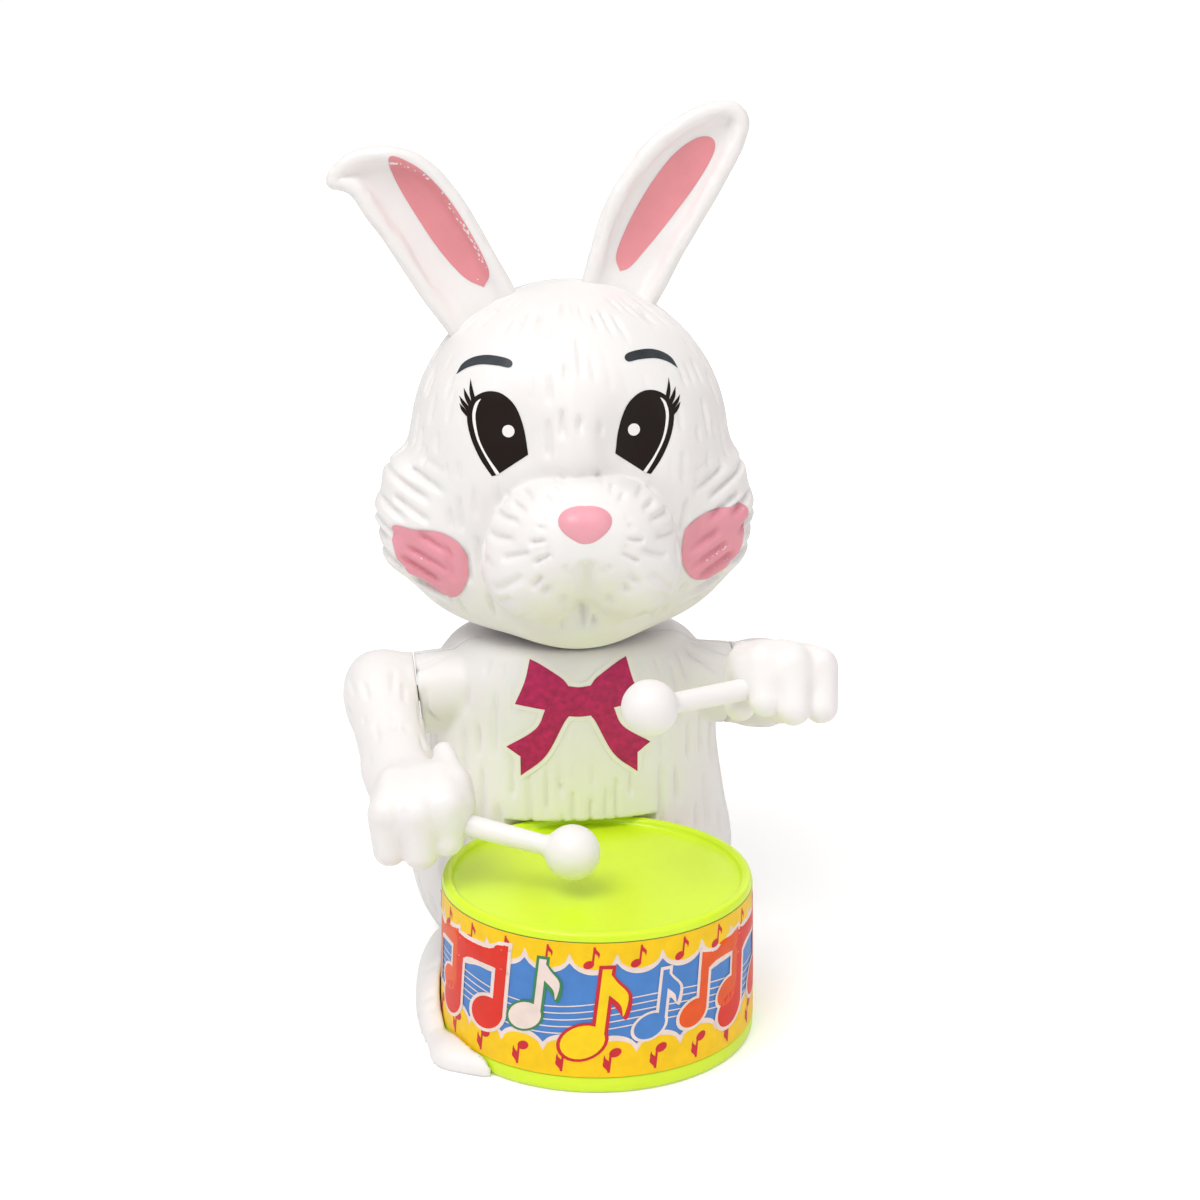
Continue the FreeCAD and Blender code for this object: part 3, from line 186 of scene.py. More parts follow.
def skin(field, low, high, cell):
    """A smooth closed mesh round the places where field is below zero (surface nets)."""
    axes = [np.arange(low[i], high[i] + cell, cell, dtype=np.float64) for i in range(3)]
    shape = [len(axis) for axis in axes]
    value = field(np.meshgrid(*axes, indexing="ij", sparse=True))
    value = np.broadcast_to(value, shape).astype(np.float32)
    inside = value < 0
    cells = [n - 1 for n in shape]
    total = np.zeros((cells[0] * cells[1] * cells[2], 3))
    count = np.zeros(cells[0] * cells[1] * cells[2])
    quads = []

    def cell_id(i, j, k):
        return (i * cells[1] + j) * cells[2] + k

    for axis in range(3):
        here = [slice(None)] * 3
        there = [slice(None)] * 3
        here[axis] = slice(0, -1)
        there[axis] = slice(1, None)
        crossing = np.argwhere(inside[tuple(here)] != inside[tuple(there)])
        u, v = [(1, 2), (2, 0), (0, 1)][axis]
        keep = ((crossing[:, u] > 0) & (crossing[:, u] < cells[u])
                & (crossing[:, v] > 0) & (crossing[:, v] < cells[v]))
        crossing = crossing[keep]
        far_end = crossing.copy()
        far_end[:, axis] += 1
        a = value[tuple(crossing.T)]
        b = value[tuple(far_end.T)]
        point = crossing.astype(float)
        point[:, axis] += a / (a - b)
        corner = []
        for du, dv in ((0, 0), (-1, 0), (-1, -1), (0, -1)):
            place = crossing.copy()
            place[:, u] += du
            place[:, v] += dv
            number = cell_id(*place.T)
            corner.append(number)
            np.add.at(total, number, point)
            np.add.at(count, number, 1)
        ring = np.stack(corner, axis=1)
        outward = inside[tuple(crossing.T)]
        ring[~outward] = ring[~outward][:, ::-1]
        quads.append(ring)
    used = np.flatnonzero(count)
    points = total[used] / count[used][:, None] * cell + np.asarray(low)
    number = np.zeros(len(count), dtype=np.int64)
    number[used] = np.arange(len(used))
    points = settle(field, points, cell)
    return points, number[np.concatenate(quads)]


def settle(field, points, cell, rounds=3):
    """Moves points onto the exact surface, along the field's slope."""
    step = cell * 0.2
    for _ in range(rounds):
        here = field(list(points.T))
        slope = np.empty_like(points)
        for axis in range(3):
            ahead, behind = points.copy(), points.copy()
            ahead[:, axis] += step
            behind[:, axis] -= step
            slope[:, axis] = (field(list(ahead.T)) - field(list(behind.T))) / (2 * step)
        size = np.maximum((slope ** 2).sum(axis=1), 0.05)
        move = slope * (here / size)[:, None]
        reach = np.sqrt((move ** 2).sum(axis=1))
        move *= np.minimum(1, cell * 0.5 / np.maximum(reach, 1e-9))[:, None]
        points = points - move
    return points


# ---- meshes and materials ----

def mesh_object(name, points, faces, materials, smooth=True, face_material=None):
    """A Blender object from points in millimetres."""
    mesh = bpy.data.meshes.new(name)
    mesh.from_pydata((np.asarray(points) * MM).tolist(), [], np.asarray(faces).tolist()
                     if isinstance(faces, np.ndarray) else faces)
    for material in materials:
        mesh.materials.append(material)
    if face_material is not None:
        mesh.polygons.foreach_set("material_index", face_material)
    mesh.polygons.foreach_set("use_smooth", [smooth] * len(mesh.polygons))
    mesh.update()
    piece = bpy.data.objects.new(name, mesh)
    bpy.context.scene.collection.objects.link(piece)
    return piece


def finish_piece(piece, body, slot_name, *nodes):
    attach(piece, body)
    if nodes:
        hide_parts(*nodes)


def moulded(node, field, margin, cell, body=ROOT):
    """A white piece in place of one CAD node, looked for in the node's box and a margin."""
    lows, highs = box_mm(node)
    piece = mesh_object(node + "_moulding", *skin(field, lows - margin, highs + margin, cell),
                        [WHITE])
    finish_piece(piece, body, "white_plastic", node)
    return piece


def face_outward(piece):
    mesh = bmesh.new()
    mesh.from_mesh(piece.data)
    bmesh.ops.recalc_face_normals(mesh, faces=mesh.faces)
    mesh.to_mesh(piece.data)
    mesh.free()


def node_of(tree, kind, **inputs):
    item = tree.nodes.new(kind)
    set_inputs(item, **inputs)
    return item


def set_inputs(item, **inputs):
    for name, value in inputs.items():
        item.inputs[name.replace("_", " ")].default_value = value


def new_material(name):
    """A material, its node tree and its shader."""
    material = bpy.data.materials.new(name)
    material.use_nodes = True
    return material, material.node_tree, material.node_tree.nodes["Principled BSDF"]


def wire(tree, *steps):
    """Links (node, output, node, input) rows."""
    for source, output, target, socket in steps:
        tree.links.new(source.outputs[output], target.inputs[socket])


def two_tones(tree, source, shader, low, high, dark, light):
    """Colours the shader from dark to light by a noise's strength."""
    tone = tree.nodes.new("ShaderNodeValToRGB")
    for element, place, colour in zip(tone.color_ramp.elements, (low, high), (dark, light)):
        element.position = place
        element.color = (*colour, 1)
    wire(tree, (source, "Fac", tone, "Fac"), (tone, "Color", shader, "Base Color"))


def plastic(name, colour, rough=0.38, coat=0.0, mottle=0.03, bump=0.02, glow=0.0,
            glow_colour=(1.0, 0.45, 0.35), scale=900.0, shine_level=0.5):
    """Moulded plastic: faint cloudiness of colour, slight orange peel and soft shine."""
    material, tree, shader = new_material(name)
    set_inputs(shader, IOR=1.49, Specular_IOR_Level=shine_level, Coat_Weight=coat,
               Coat_Roughness=0.18)
    if glow:
        set_inputs(shader, Subsurface_Weight=glow, Subsurface_Radius=glow_colour,
                   Subsurface_Scale=0.0025)
    place = tree.nodes.new("ShaderNodeTexCoord")
    cloud = node_of(tree, "ShaderNodeTexNoise", Scale=scale * 0.12, Detail=4.0)
    dark = [channel * (1 - mottle) for channel in colour]
    light = [min(1.0, channel * (1 + mottle * 0.5)) for channel in colour]
    two_tones(tree, cloud, shader, 0.3, 0.7, dark, light)
    shine = node_of(tree, "ShaderNodeMapRange", To_Min=max(0.05, rough - 0.05),
                    To_Max=rough + 0.06)
    grain = node_of(tree, "ShaderNodeTexNoise", Scale=scale, Detail=3.0)
    relief = node_of(tree, "ShaderNodeBump", Strength=1.0, Distance=bump * MM)
    wire(tree, (place, "Object", cloud, "Vector"), (cloud, "Fac", shine, "Value"),
         (shine, "Result", shader, "Roughness"), (place, "Object", grain, "Vector"),
         (grain, "Fac", relief, "Height"), (relief, "Normal", shader, "Normal"))
    return material


def metal(name, colour, rough=0.32, brushed=(1.0, 60.0, 1.0)):
    """Stamped or turned metal with fine drawn lines and some tarnish."""
    material, tree, shader = new_material(name)
    set_inputs(shader, Metallic=1.0)
    place = tree.nodes.new("ShaderNodeTexCoord")
    stretch = node_of(tree, "ShaderNodeMapping", Scale=brushed)
    lines = node_of(tree, "ShaderNodeTexNoise", Scale=400.0, Detail=5.0)
    tarnish = node_of(tree, "ShaderNodeTexNoise", Scale=90.0, Detail=3.0)
    two_tones(tree, tarnish, shader, 0.35, 0.65, [c * 0.72 for c in colour], colour)
    shine = node_of(tree, "ShaderNodeMapRange", To_Min=rough - 0.1, To_Max=rough + 0.15)
    relief = node_of(tree, "ShaderNodeBump", Strength=0.5, Distance=0.01 * MM)
    wire(tree, (place, "Object", stretch, "Vector"), (stretch, "Vector", lines, "Vector"),
         (place, "Object", tarnish, "Vector"), (lines, "Fac", shine, "Value"),
         (shine, "Result", shader, "Roughness"), (lines, "Fac", relief, "Height"),
         (relief, "Normal", shader, "Normal"))
    return material


WHITE = plastic("white_moulding", (0.87, 0.85, 0.84), rough=0.42, glow=0.12, mottle=0.015)
LIME = plastic("lime_moulding", (0.69, 0.93, 0.02), rough=0.3, coat=0.12, glow=0.08,
               glow_colour=(0.6, 1.0, 0.1), mottle=0.03)
PINK = plastic("pink_paint", (0.83, 0.33, 0.40), rough=0.42, mottle=0.08, bump=0.03)
NOSE_PINK = plastic("nose_gloss", (0.87, 0.38, 0.45), rough=0.3, mottle=0.05, bump=0.02)
PINK_LIGHT = plastic("ear_paint", (0.80, 0.29, 0.32), rough=0.5, mottle=0.1, bump=0.03)
BLACK = plastic("eye_print", (0.012, 0.006, 0.004), rough=0.42, mottle=0.2, shine_level=0.2)
GREY = plastic("brow_print", (0.035, 0.045, 0.055), rough=0.4, mottle=0.5, scale=2600.0)
GLINT = plastic("eye_white_print", (0.9, 0.88, 0.86), rough=0.35, mottle=0.02)
MAGENTA = plastic("bow_print", (0.50, 0.010, 0.105), rough=0.6, mottle=0.3, scale=9000.0)
PAPER = plastic("sticker_edge", (0.88, 0.87, 0.80), rough=0.5, mottle=0.03)
INNER = plastic("inner_moulding", (0.80, 0.78, 0.72), rough=0.45)


def ink(name, colour, rough=0.4):
    return plastic(name, colour, rough=rough, mottle=0.08, bump=0.008, scale=4200.0,
                   shine_level=0.3)


YELLOW = ink("yellow_ink", (0.97, 0.61, 0.001))
BLUE = ink("blue_ink", (0.07, 0.23, 0.60))
PALE = ink("pale_ink", (0.86, 0.72, 0.66))
RED = ink("red_ink", (0.76, 0.028, 0.012))
CRIMSON = ink("crimson_ink", (0.62, 0.02, 0.035))
ORANGE = ink("orange_ink", (0.84, 0.10, 0.012))
GREEN = ink("green_ink", (0.05, 0.24, 0.09))
GOLD = ink("gold_ink", (0.98, 0.66, 0.003))

STEEL = metal("steel", (0.62, 0.62, 0.63))
DARK_STEEL = metal("blued_spring", (0.16, 0.18, 0.24), rough=0.28)
BRASS = metal("brass", (0.83, 0.62, 0.27), rough=0.3)

# ---- head ----

FACE_TURN = math.radians(-2.5)
FACE_SHIFT = -0.9
MUZZLE_SHIFT = 1.3


def to_face(x, y):
    """The face looks a little towards the toy's own right."""
    c, s = math.cos(FACE_TURN), math.sin(FACE_TURN)
    x, y = x - FACE_SHIFT, y - DOME[1]
    return x * c + y * s, DOME[1] - x * s + y * c


def from_face(x, y):
    c, s = math.cos(FACE_TURN), math.sin(FACE_TURN)
    y = y - DOME[1]
    return x * c - y * s + FACE_SHIFT, DOME[1] + x * s + y * c


def head_field(p, carved=True):
    """Dome, jaw, tufted cheeks, eye sockets, muzzle, chin and the line of the mouth."""
    x, y = to_face(p[0], p[1])
    z = p[2] + 0 * x
    q = [x, y, z]
    side = np.abs(x)
    m = [side, y, z]
    dome = ball(p, DOME, DOME_R)
    jaw = egg(q, (0.6, DOME[1] - 1.3, DOME[2] - 11.4), (CHEEK_HALF - 2.2, 17.6, 17.1), 2.45)
    shape = join(dome, jaw, 3.0)
    tuft = egg(m, (19.5, DOME[1] - 3.0, DOME[2] - 10.5), (8.0, 10.5, 8.6))
    for high, reach in ((-4.6, 23.1), (-9.6, 24.3), (-15.0, 23.4)):
        lock = egg(m, (reach, DOME[1] - 2.5, DOME[2] + high), (3.6, 8.0, 3.4))
        tuft = join(tuft, lock, 1.5)
    shape = join(shape, tuft, 2.4)
    socket = egg(m, (10.0, -17.6, DOME[2] + 4.0), (6.2, 3.6, 8.2))
    shape = cut_out(shape, socket, 3.0)
    shift = MUZZLE_SHIFT
    n = [np.abs(x - shift), y, z]
    bridge = egg(q, (shift, MUZZLE[1] - 0.5, MUZZLE[2] + 2.3), (13.2, 13.2, 9.2), 2.2)
    lobes = egg(n, (6.6, MUZZLE[1] - 2.4, MUZZLE[2] - 1.9), (7.5, 9.2, 7.9))
    lobes = join(lobes, egg(n, (3.4, MUZZLE[1] - 6.4, MUZZLE[2] + 1.2), (4.4, 5.2, 5.6)), 2.4)
    muzzle = join(bridge, lobes, 1.3)
    crease = 0.55 * np.exp(-((shape - muzzle) / 1.1) ** 2) * ramp(-y, 10.0, 14.0)
    shape = join(shape, muzzle, 0.35) + crease
    chin = egg(q, (shift, -8.0, DOME[2] - 23.0), (9.0, 6.2, 5.2))
    shape = join(shape, chin, 4.0)
    mouth = limb(n, (0, -25.8, MUZZLE[2] - 0.5), (0, -20.8, MUZZLE[2] - 7.4), 0.9, 0.7)
    shape = cut_out(shape, mouth, 1.2)
    if carved:
        shape = shape + head_hair(x, side, y, z)
    return shape


def head_hair(x, side, y, z):
    """Grooves: upright on the dome, raked on the cheeks, spread from the nose on the muzzle."""
    high = z - DOME[2]
    turn = np.arctan2(x, -(y - DOME[1]))
    near_top = 1 - ramp(high, 19.5, 22.5)
    front = 1 - ramp(np.abs(turn), 1.2, 1.5)
    eyes = np.exp(-(((side - 10) / 6.5) ** 4 + ((high - 4.5) / 9.5) ** 4)) * front
    brows = np.exp(-(((side - 10) / 8.0) ** 4 + ((high - 14.5) / 3.2) ** 4)) * front
    on_muzzle = ramp(-y, 15.5, 18.0) * (1 - ramp(np.abs(z - MUZZLE[2]), 10.5, 12.5))
    on_muzzle = on_muzzle * (1 - ramp(side, 13.0, 15.0))
    on_cheek = ramp(side, 15.5, 19.5) * (1 - ramp(high, -3.0, 0.5)) * ramp(high, -25.0, -21.0)
    on_cheek = on_cheek * (1 - ramp(y, 14.0, 18.0))
    upright = strokes(turn * 22.0, z, 2.5, 7.5, 0.42, 1.0) * 0.55
    upright = upright * near_top * (1 - on_cheek) * (1 - on_muzzle) * (1 - eyes) * (1 - brows)
    lower_face = ramp(high, -24.5, -22.0)
    raked_across = z * 0.87 - side * 0.5
    raked_along = side * 0.87 + z * 0.5
    raked = strokes(raked_across, raked_along, 2.3, 9.0, 0.5, 5.0, 0.75) * 0.62 * on_cheek
    nose_x, nose_z = np.abs(x - MUZZLE_SHIFT), z - (MUZZLE[2] + 5.0)
    spread = np.arctan2(nose_x, -nose_z)
    away = np.sqrt(nose_x ** 2 + nose_z ** 2)
    rays = strokes(spread * 9.0, away, 1.9, 5.5, 0.4, 9.0, 0.7) * 0.45
    rays = rays * on_muzzle * ramp(away, 5.0, 6.5) * ramp(nose_x, 1.4, 3.0)
    return upright * lower_face + raked + rays


def halves(name, field, seam, low, high, cell):
    """A moulding's front and rear pieces, parted at a seam across Y."""
    def front(p):
        return np.maximum(field(p), p[1] - seam + SEAM_GAP)

    def rear(p):
        return np.maximum(field(p), seam + SEAM_GAP - p[1])

    ahead = skin(front, low, (high[0], seam + 1.2, high[2]), cell)
    behind = skin(rear, (low[0], seam - 1.2, low[2]), high, cell)
    return (mesh_object(name[0], *ahead, [WHITE]), mesh_object(name[1], *behind, [WHITE]))


def make_head():
    def wall(p):
        return hollow(head_field(p), head_field(p, False), HEAD_WALL)

    low = (-31, head_low[1] - 3, head_low[2] + 2.0)
    high = (31, head_high[1] + 1.5, head_high[2] + 1.5)
    face, back = halves(("head_face", "head_back"), wall, HEAD_SEAM, low, high,
                        cell_size(0.42))
    finish_piece(face, ROOT, "white_plastic", "head_front_shell")
    finish_piece(back, ROOT, "white_plastic", "head_rear_shell")
    return face


# ---- printed shapes laid on a surface ----

def smooth_line(points, per_span=8, closed=True):
    """A curve through listed points; a point given as (a, b, "corner") stays sharp."""
    n = len(points)
    plain = [np.array(point[:2], float) for point in points]
    sharp = [len(point) > 2 for point in points]
    line = []
    for i in range(n if closed else n - 1):
        a, b = plain[i], plain[(i + 1) % n]
        before = plain[i - 1] if (closed or i > 0) else a
        after = plain[(i + 2) % n] if (closed or i + 2 < n) else b
        leave = (b - before) / 2 if not sharp[i] else (b - a)
        arrive = (after - a) / 2 if not sharp[(i + 1) % n] else (b - a)
        for step in range(per_span):
            t = step / per_span
            line.append((2 * t ** 3 - 3 * t ** 2 + 1) * a + (t ** 3 - 2 * t ** 2 + t) * leave
                        + (3 * t ** 2 - 2 * t ** 3) * b + (t ** 3 - t ** 2) * arrive)
    if not closed:
        line.append(plain[-1])
    return np.array(line)


def disc(centre, radius, squash=1.0, tilt=0.0, count=28):
    turn = np.linspace(0, 2 * math.pi, count, endpoint=False)
    x, y = radius * np.cos(turn), radius * squash * np.sin(turn)
    c, s = math.cos(tilt), math.sin(tilt)
    return np.stack([centre[0] + x * c - y * s, centre[1] + x * s + y * c], axis=1)


def inside_any(points, loops):
    """Which points lie inside at least one closed line."""
    found = np.zeros(len(points), bool)
    for loop in loops:
        x, y = points[:, 0], points[:, 1]
        odd = np.zeros(len(points), bool)
        for (ax, ay), (bx, by) in zip(loop, np.roll(loop, -1, axis=0)):
            if ay == by:
                continue
            crosses = (ay > y) != (by > y)
            odd ^= crosses & (x < (bx - ax) * (y - ay) / (by - ay) + ax)
        found |= odd
    return found


def fill(loops, step):
    """Triangles over the union of closed lines, fine enough to follow a curved surface."""
    loops = [np.asarray(loop, float) for loop in loops]
    every = np.concatenate(loops)
    low, high = every.min(axis=0), every.max(axis=0)
    grid = np.stack(np.meshgrid(np.arange(low[0] + step / 2, high[0], step),
                                np.arange(low[1] + step / 2, high[1], step),
                                indexing="ij"), axis=-1).reshape(-1, 2)
    grid = grid[inside_any(grid, loops)] if len(grid) else grid
    points = np.concatenate([every, grid]) if len(grid) else every
    rings, start = [], 0
    for loop in loops:
        rings.append(list(range(start, start + len(loop))))
        start += len(loop)
    out = delaunay_2d_cdt([Vector(p) for p in points], [], rings, 1, 1e-5)
    return np.array([tuple(v) for v in out[0]]), [list(f) for f in out[2]]


def printed(name, layers, wrap, step, slot_name, *nodes):
    """Flat coloured shapes wrapped on a surface, each layer a hair above the last.

    layers is a list of (loops, material, lift); wrap turns flat places and a lift into points.
    """
    points, faces, colours, materials = [], [], [], []
    for loops, material, lift in layers:
        flat, triangles = fill(loops, step)
        if material not in materials:
            materials.append(material)
        start = sum(len(block) for block in points)
        points.append(wrap(flat, lift))
        faces += [[start + i for i in triangle] for triangle in triangles]
        colours += [materials.index(material)] * len(triangles)
    piece = mesh_object(name, np.concatenate(points), faces, materials,
                        face_material=colours)
    face_outward(piece)
    finish_piece(piece, ROOT, slot_name, *nodes)


START_OFF = 0.03        # how far off a surface the search for it begins, in metres


def layer_on(target, centre, outward, up=(0, 0, 1)):
    """Returns a wrap that drops flat shapes onto a mesh, along a direction."""
    mesh = target.data
    tree = BVHTree.FromPolygons([v.co.copy() for v in mesh.vertices],
                                [list(p.vertices) for p in mesh.polygons])
    outward = Vector(outward).normalized()
    across = Vector(up).cross(outward).normalized()
    upward = outward.cross(across)
    centre = Vector(centre) * MM

    def wrap(flat, lift):
        found = []
        for a, b in flat:
            start = centre + across * (a * MM) + upward * (b * MM) + outward * START_OFF
            spot, normal = tree.ray_cast(start, -outward)[:2]
            if spot is None:
                spot, normal = start - outward * START_OFF, outward
            if normal.dot(outward) < 0:
                normal = -normal
            found.append((spot + (outward * 0.6 + normal * 0.4) * (lift * MM)) / MM)
        return np.array([tuple(v) for v in found])

    return wrap


EYE = (10.25, DOME[2] + 4.2)


def eye_layers():
    """An arched dark eye with a slanted foot, a light rim line, a glint and lashes.

    Measured outwards and upwards from the eye's middle.
    """
    arch = [(-3.9, -2.5, "corner"), (-3.3, 1.2), (-2.2, 4.1), (-0.5, 5.7), (1.3, 6.1),
            (3.0, 5.6), (4.3, 4.4), (4.7, 2.4), (4.15, -0.3), (2.9, -3.1),
            (1.2, -5.6, "corner"), (0.4, -5.4, "corner"), (-0.3, -4.9, "corner")]
    rim = [(2.7, 5.0), (3.55, 4.25), (3.9, 2.4), (3.3, -0.4), (2.1, -2.9),
           (0.55, -5.45, "corner"), (0.1, -5.2, "corner"), (1.8, -2.8), (2.95, -0.4),
           (3.45, 2.3), (3.2, 4.0)]
    lashes = [((3.5, 5.0), (4.05, 4.5), (4.3, 7.6)), ((4.0, 4.5), (4.45, 3.9), (5.25, 6.3)),
              ((4.35, 3.8), (4.65, 3.2), (5.9, 5.2)), ((4.5, 3.1), (4.75, 2.5), (5.85, 4.2))]
    hairs = []
    for low, high, tip in lashes:
        bend = ((high[0] + tip[0]) / 2 + 0.22, (high[1] + tip[1]) / 2 - 0.1)
        hairs.append(smooth_line([(*low, "corner"), (*high, "corner"), bend,
                                  (*tip, "corner"),
                                  ((low[0] + tip[0]) / 2 + 0.02, (low[1] + tip[1]) / 2)], 5))
    return [([smooth_line(arch, 6)] + hairs, BLACK, 0.05),
            ([smooth_line(rim, 6)], GLINT, 0.075),
            ([disc((-1.15, 0.7), 0.86)], GLINT, 0.075)]


def brow_layer():
    line = [(5.2, 8.9, "corner"), (4.3, 10.4), (2.6, 11.4), (0.4, 11.8), (-2.2, 11.5),
            (-3.0, 10.9), (-2.5, 10.3), (-0.8, 10.5), (1.6, 10.5), (3.6, 9.9)]
    return [([smooth_line(line, 6)], GREY, 0.05)]


def mirror(layers, side):
    return [([np.asarray(loop) * (side, 1) for loop in loops], material, lift)
            for loops, material, lift in layers]


BLUSH = [(-5.2, 0.4), (-4.6, 3.2), (-1.6, 4.9), (2.2, 5.1), (5.6, 5.4), (6.6, 3.6),
         (5.6, -0.6), (3.6, -3.6), (0.6, -5.3), (-2.6, -5.0), (-4.8, -2.6)]


def make_face(face):
    """Eyes, brows, cheek spots and nose; the two sides are placed a little unevenly."""
    # side, brow moved across and down, spot's distance across and height
    for side, word, brow_in, brow_down, spot_out, spot_up in (
            (-1, "right", 1.3, 1.0, 19.6, -15.3), (1, "left", -0.9, 0.3, 20.6, -13.1)):
        looking = (0.10 * side - 0.04, -1, 0.05)
        x, y = from_face(side * EYE[0], -18.0)
        wrap = layer_on(face, (x, y, EYE[1]), looking)
        printed("eye_print_" + word, mirror(eye_layers(), side), wrap, 0.55, "bow_print")
        x, y = from_face(side * EYE[0] - brow_in, -18.0)
        wrap = layer_on(face, (x, y, EYE[1] - brow_down), looking)
        printed("brow_print_" + word, mirror(brow_layer(), side), wrap, 0.4, "bow_print")
        x, y = from_face(side * spot_out, -9.0)
        wrap = layer_on(face, (x, y, DOME[2] + spot_up), (0.72 * side, -0.8, -0.12))
        blush = mirror([([smooth_line(BLUSH, 6)], PINK, 0.2)], side)
        printed("cheek_print_" + word, blush, wrap, 0.3, "bow_print")
    x, y = from_face(MUZZLE_SHIFT, head_low[1] - 0.2)

    def nose(p):
        q = [np.abs(p[0] - x), p[1], p[2] + 0 * p[0]]
        centre = (0, y + 2.2, MUZZLE[2] + 4.6)
        top = egg(q, (1.9, centre[1] + 0.3, centre[2] + 1.0), (2.3, 2.5, 2.0))
        foot = egg(q, (0, centre[1] + 0.2, centre[2] - 1.3), (1.9, 2.3, 2.3))
        middle = egg(q, (0, centre[1], centre[2] + 0.5), (2.9, 2.5, 2.7))
        return join(join(top, foot, 2.4), middle, 1.2)

    snout = mesh_object("nose_paint", *skin(nose, (x - 7, y - 4, MUZZLE[2] - 2),
                                            (x + 7, y + 7, MUZZLE[2] + 11), 0.3), [NOSE_PINK])
    finish_piece(snout, ROOT, "bow_print")


# ---- ears ----

EAR_RIM = 1.25


def ear_field(spine, cup, lean_back):
    """A leaf with a thick rolled rim and a hollow front, along a smooth spine.

    spine rows are x, z and half width; lean_back moves the leaf along Y as it rises.
    """
    curve = smooth_line([row[:2] for row in spine], 10, closed=False)
    half = smooth_line([(i, row[2]) for i, row in enumerate(spine)], 10, closed=False)[:, 1]
    share = np.linspace(0, 1, len(curve))

    def field(p):
        x, z = np.broadcast_arrays(p[0], p[2])
        depth = np.full(x.shape, 1e9)
        width, along = np.zeros(x.shape), np.zeros(x.shape)
        for (cx, cz), reach, t in zip(curve, half, share):
            gap = np.sqrt((x - cx) ** 2 + (z - cz) ** 2) - reach
            nearer = gap < depth
            depth = np.where(nearer, gap, depth)
            width, along = np.where(nearer, reach, width), np.where(nearer, t, along)
        edge = np.clip(1 + depth / width, 0, 1)
        rim_y = HEAD_SEAM - 0.6 + lean_back * along ** 2
        middle = rim_y + cup * ramp(along, 0.0, 0.3) * (1 - edge ** 2) * width / 6.5
        leaf = np.maximum(np.abs(p[1] - middle) - 0.95, depth + EAR_RIM)
        rim = np.sqrt((depth + EAR_RIM) ** 2 + (p[1] - rim_y) ** 2) - EAR_RIM
        hair = strokes(depth, along * 34.0, 1.5, 7.0, 0.3, 51.0, 0.6) * 0.2
        hair = hair * (1 - ramp(-depth, 3.0, 4.0)) * ramp(along, 0.1, 0.2)
        return join(leaf, rim, 1.0) + hair

    return field


def make_ears():
    upright = [(5.2, 93.5, 4.9), (7.4, 99.2, 5.8), (9.0, 103.0, 6.3), (10.9, 107.6, 6.8),
               (13.3, 111.7, 6.9), (16.1, 115.6, 6.5), (18.9, 118.7, 5.6), (21.2, 120.9, 4.5),
               (22.9, 122.3, 3.3)]
    folded = [(-11.2, 93.0, 5.2), (-13.3, 97.0, 5.9), (-16.0, 101.2, 6.2),
              (-18.5, 105.4, 6.4), (-21.0, 109.4, 6.4), (-23.6, 112.6, 6.2),
              (-26.4, 114.6, 4.9), (-29.2, 115.6, 3.5), (-31.6, 115.4, 2.3),
              (-33.0, 114.8, 1.5)]
    ears = {}
    for word, spine, lean_back in (("left", upright, 1.4), ("right", folded, 1.8)):
        ears[word] = moulded("ear_" + word, ear_field(spine, 2.3, lean_back), 3.0,
                             cell_size(0.4))
    leaf_left = [(7.4, 101.6, "corner"), (6.9, 104.0), (9.0, 109.0), (12.0, 114.0),
                 (15.4, 118.2), (18.8, 120.4), (21.0, 120.2), (21.1, 118.2), (18.8, 114.2),
                 (15.2, 109.4), (11.6, 105.0), (9.0, 102.2)]
    leaf_right = [(-12.4, 99.6, "corner"), (-11.7, 102.0), (-14.0, 107.0), (-17.4, 112.4),
                  (-21.0, 116.2), (-24.6, 118.1), (-25.6, 117.4), (-24.4, 114.2),
                  (-22.0, 110.0), (-18.6, 104.8), (-15.2, 101.0)]
    for word, leaf in (("left", leaf_left), ("right", leaf_right)):
        wrap = layer_on(ears[word], (0, -10, 0), (0, -1, 0))
        printed("ear_print_" + word, [([smooth_line(leaf, 6)], PINK_LIGHT, 0.05)], wrap, 0.5,
                "bow_print")


# ---- body ----

BODY_MIDDLE = 3.75


def smooth_rings(rows, count=80):
    """Rows of height, half width and half depth, evened out between the given ones."""
    rows = np.array(rows, float)
    heights = np.linspace(rows[0, 0], rows[-1, 0], count)
    line = smooth_line([tuple(row[:2]) for row in rows], 12, closed=False)
    deep = smooth_line([(row[0], row[2]) for row in rows], 12, closed=False)
    return np.stack([heights, np.interp(heights, line[:, 0], line[:, 1]),
                     np.interp(heights, deep[:, 0], deep[:, 1])], axis=1)


BODY_RINGS = smooth_rings([(-2, 19.4, 12.6), (1.5, 21.4, 13.7), (5, 23.3, 14.6),
                           (9, 24.5, 15.2), (13, 25.1, 15.6), (17, 24.7, 15.7),
                           (22, 23.7, 15.75), (31, 22.4, 15.6), (38, 22.4, 15.5),
                           (42, 21.5, 15.4), (45.5, 19.5, 15.0), (49.5, 15.8, 13.6)])


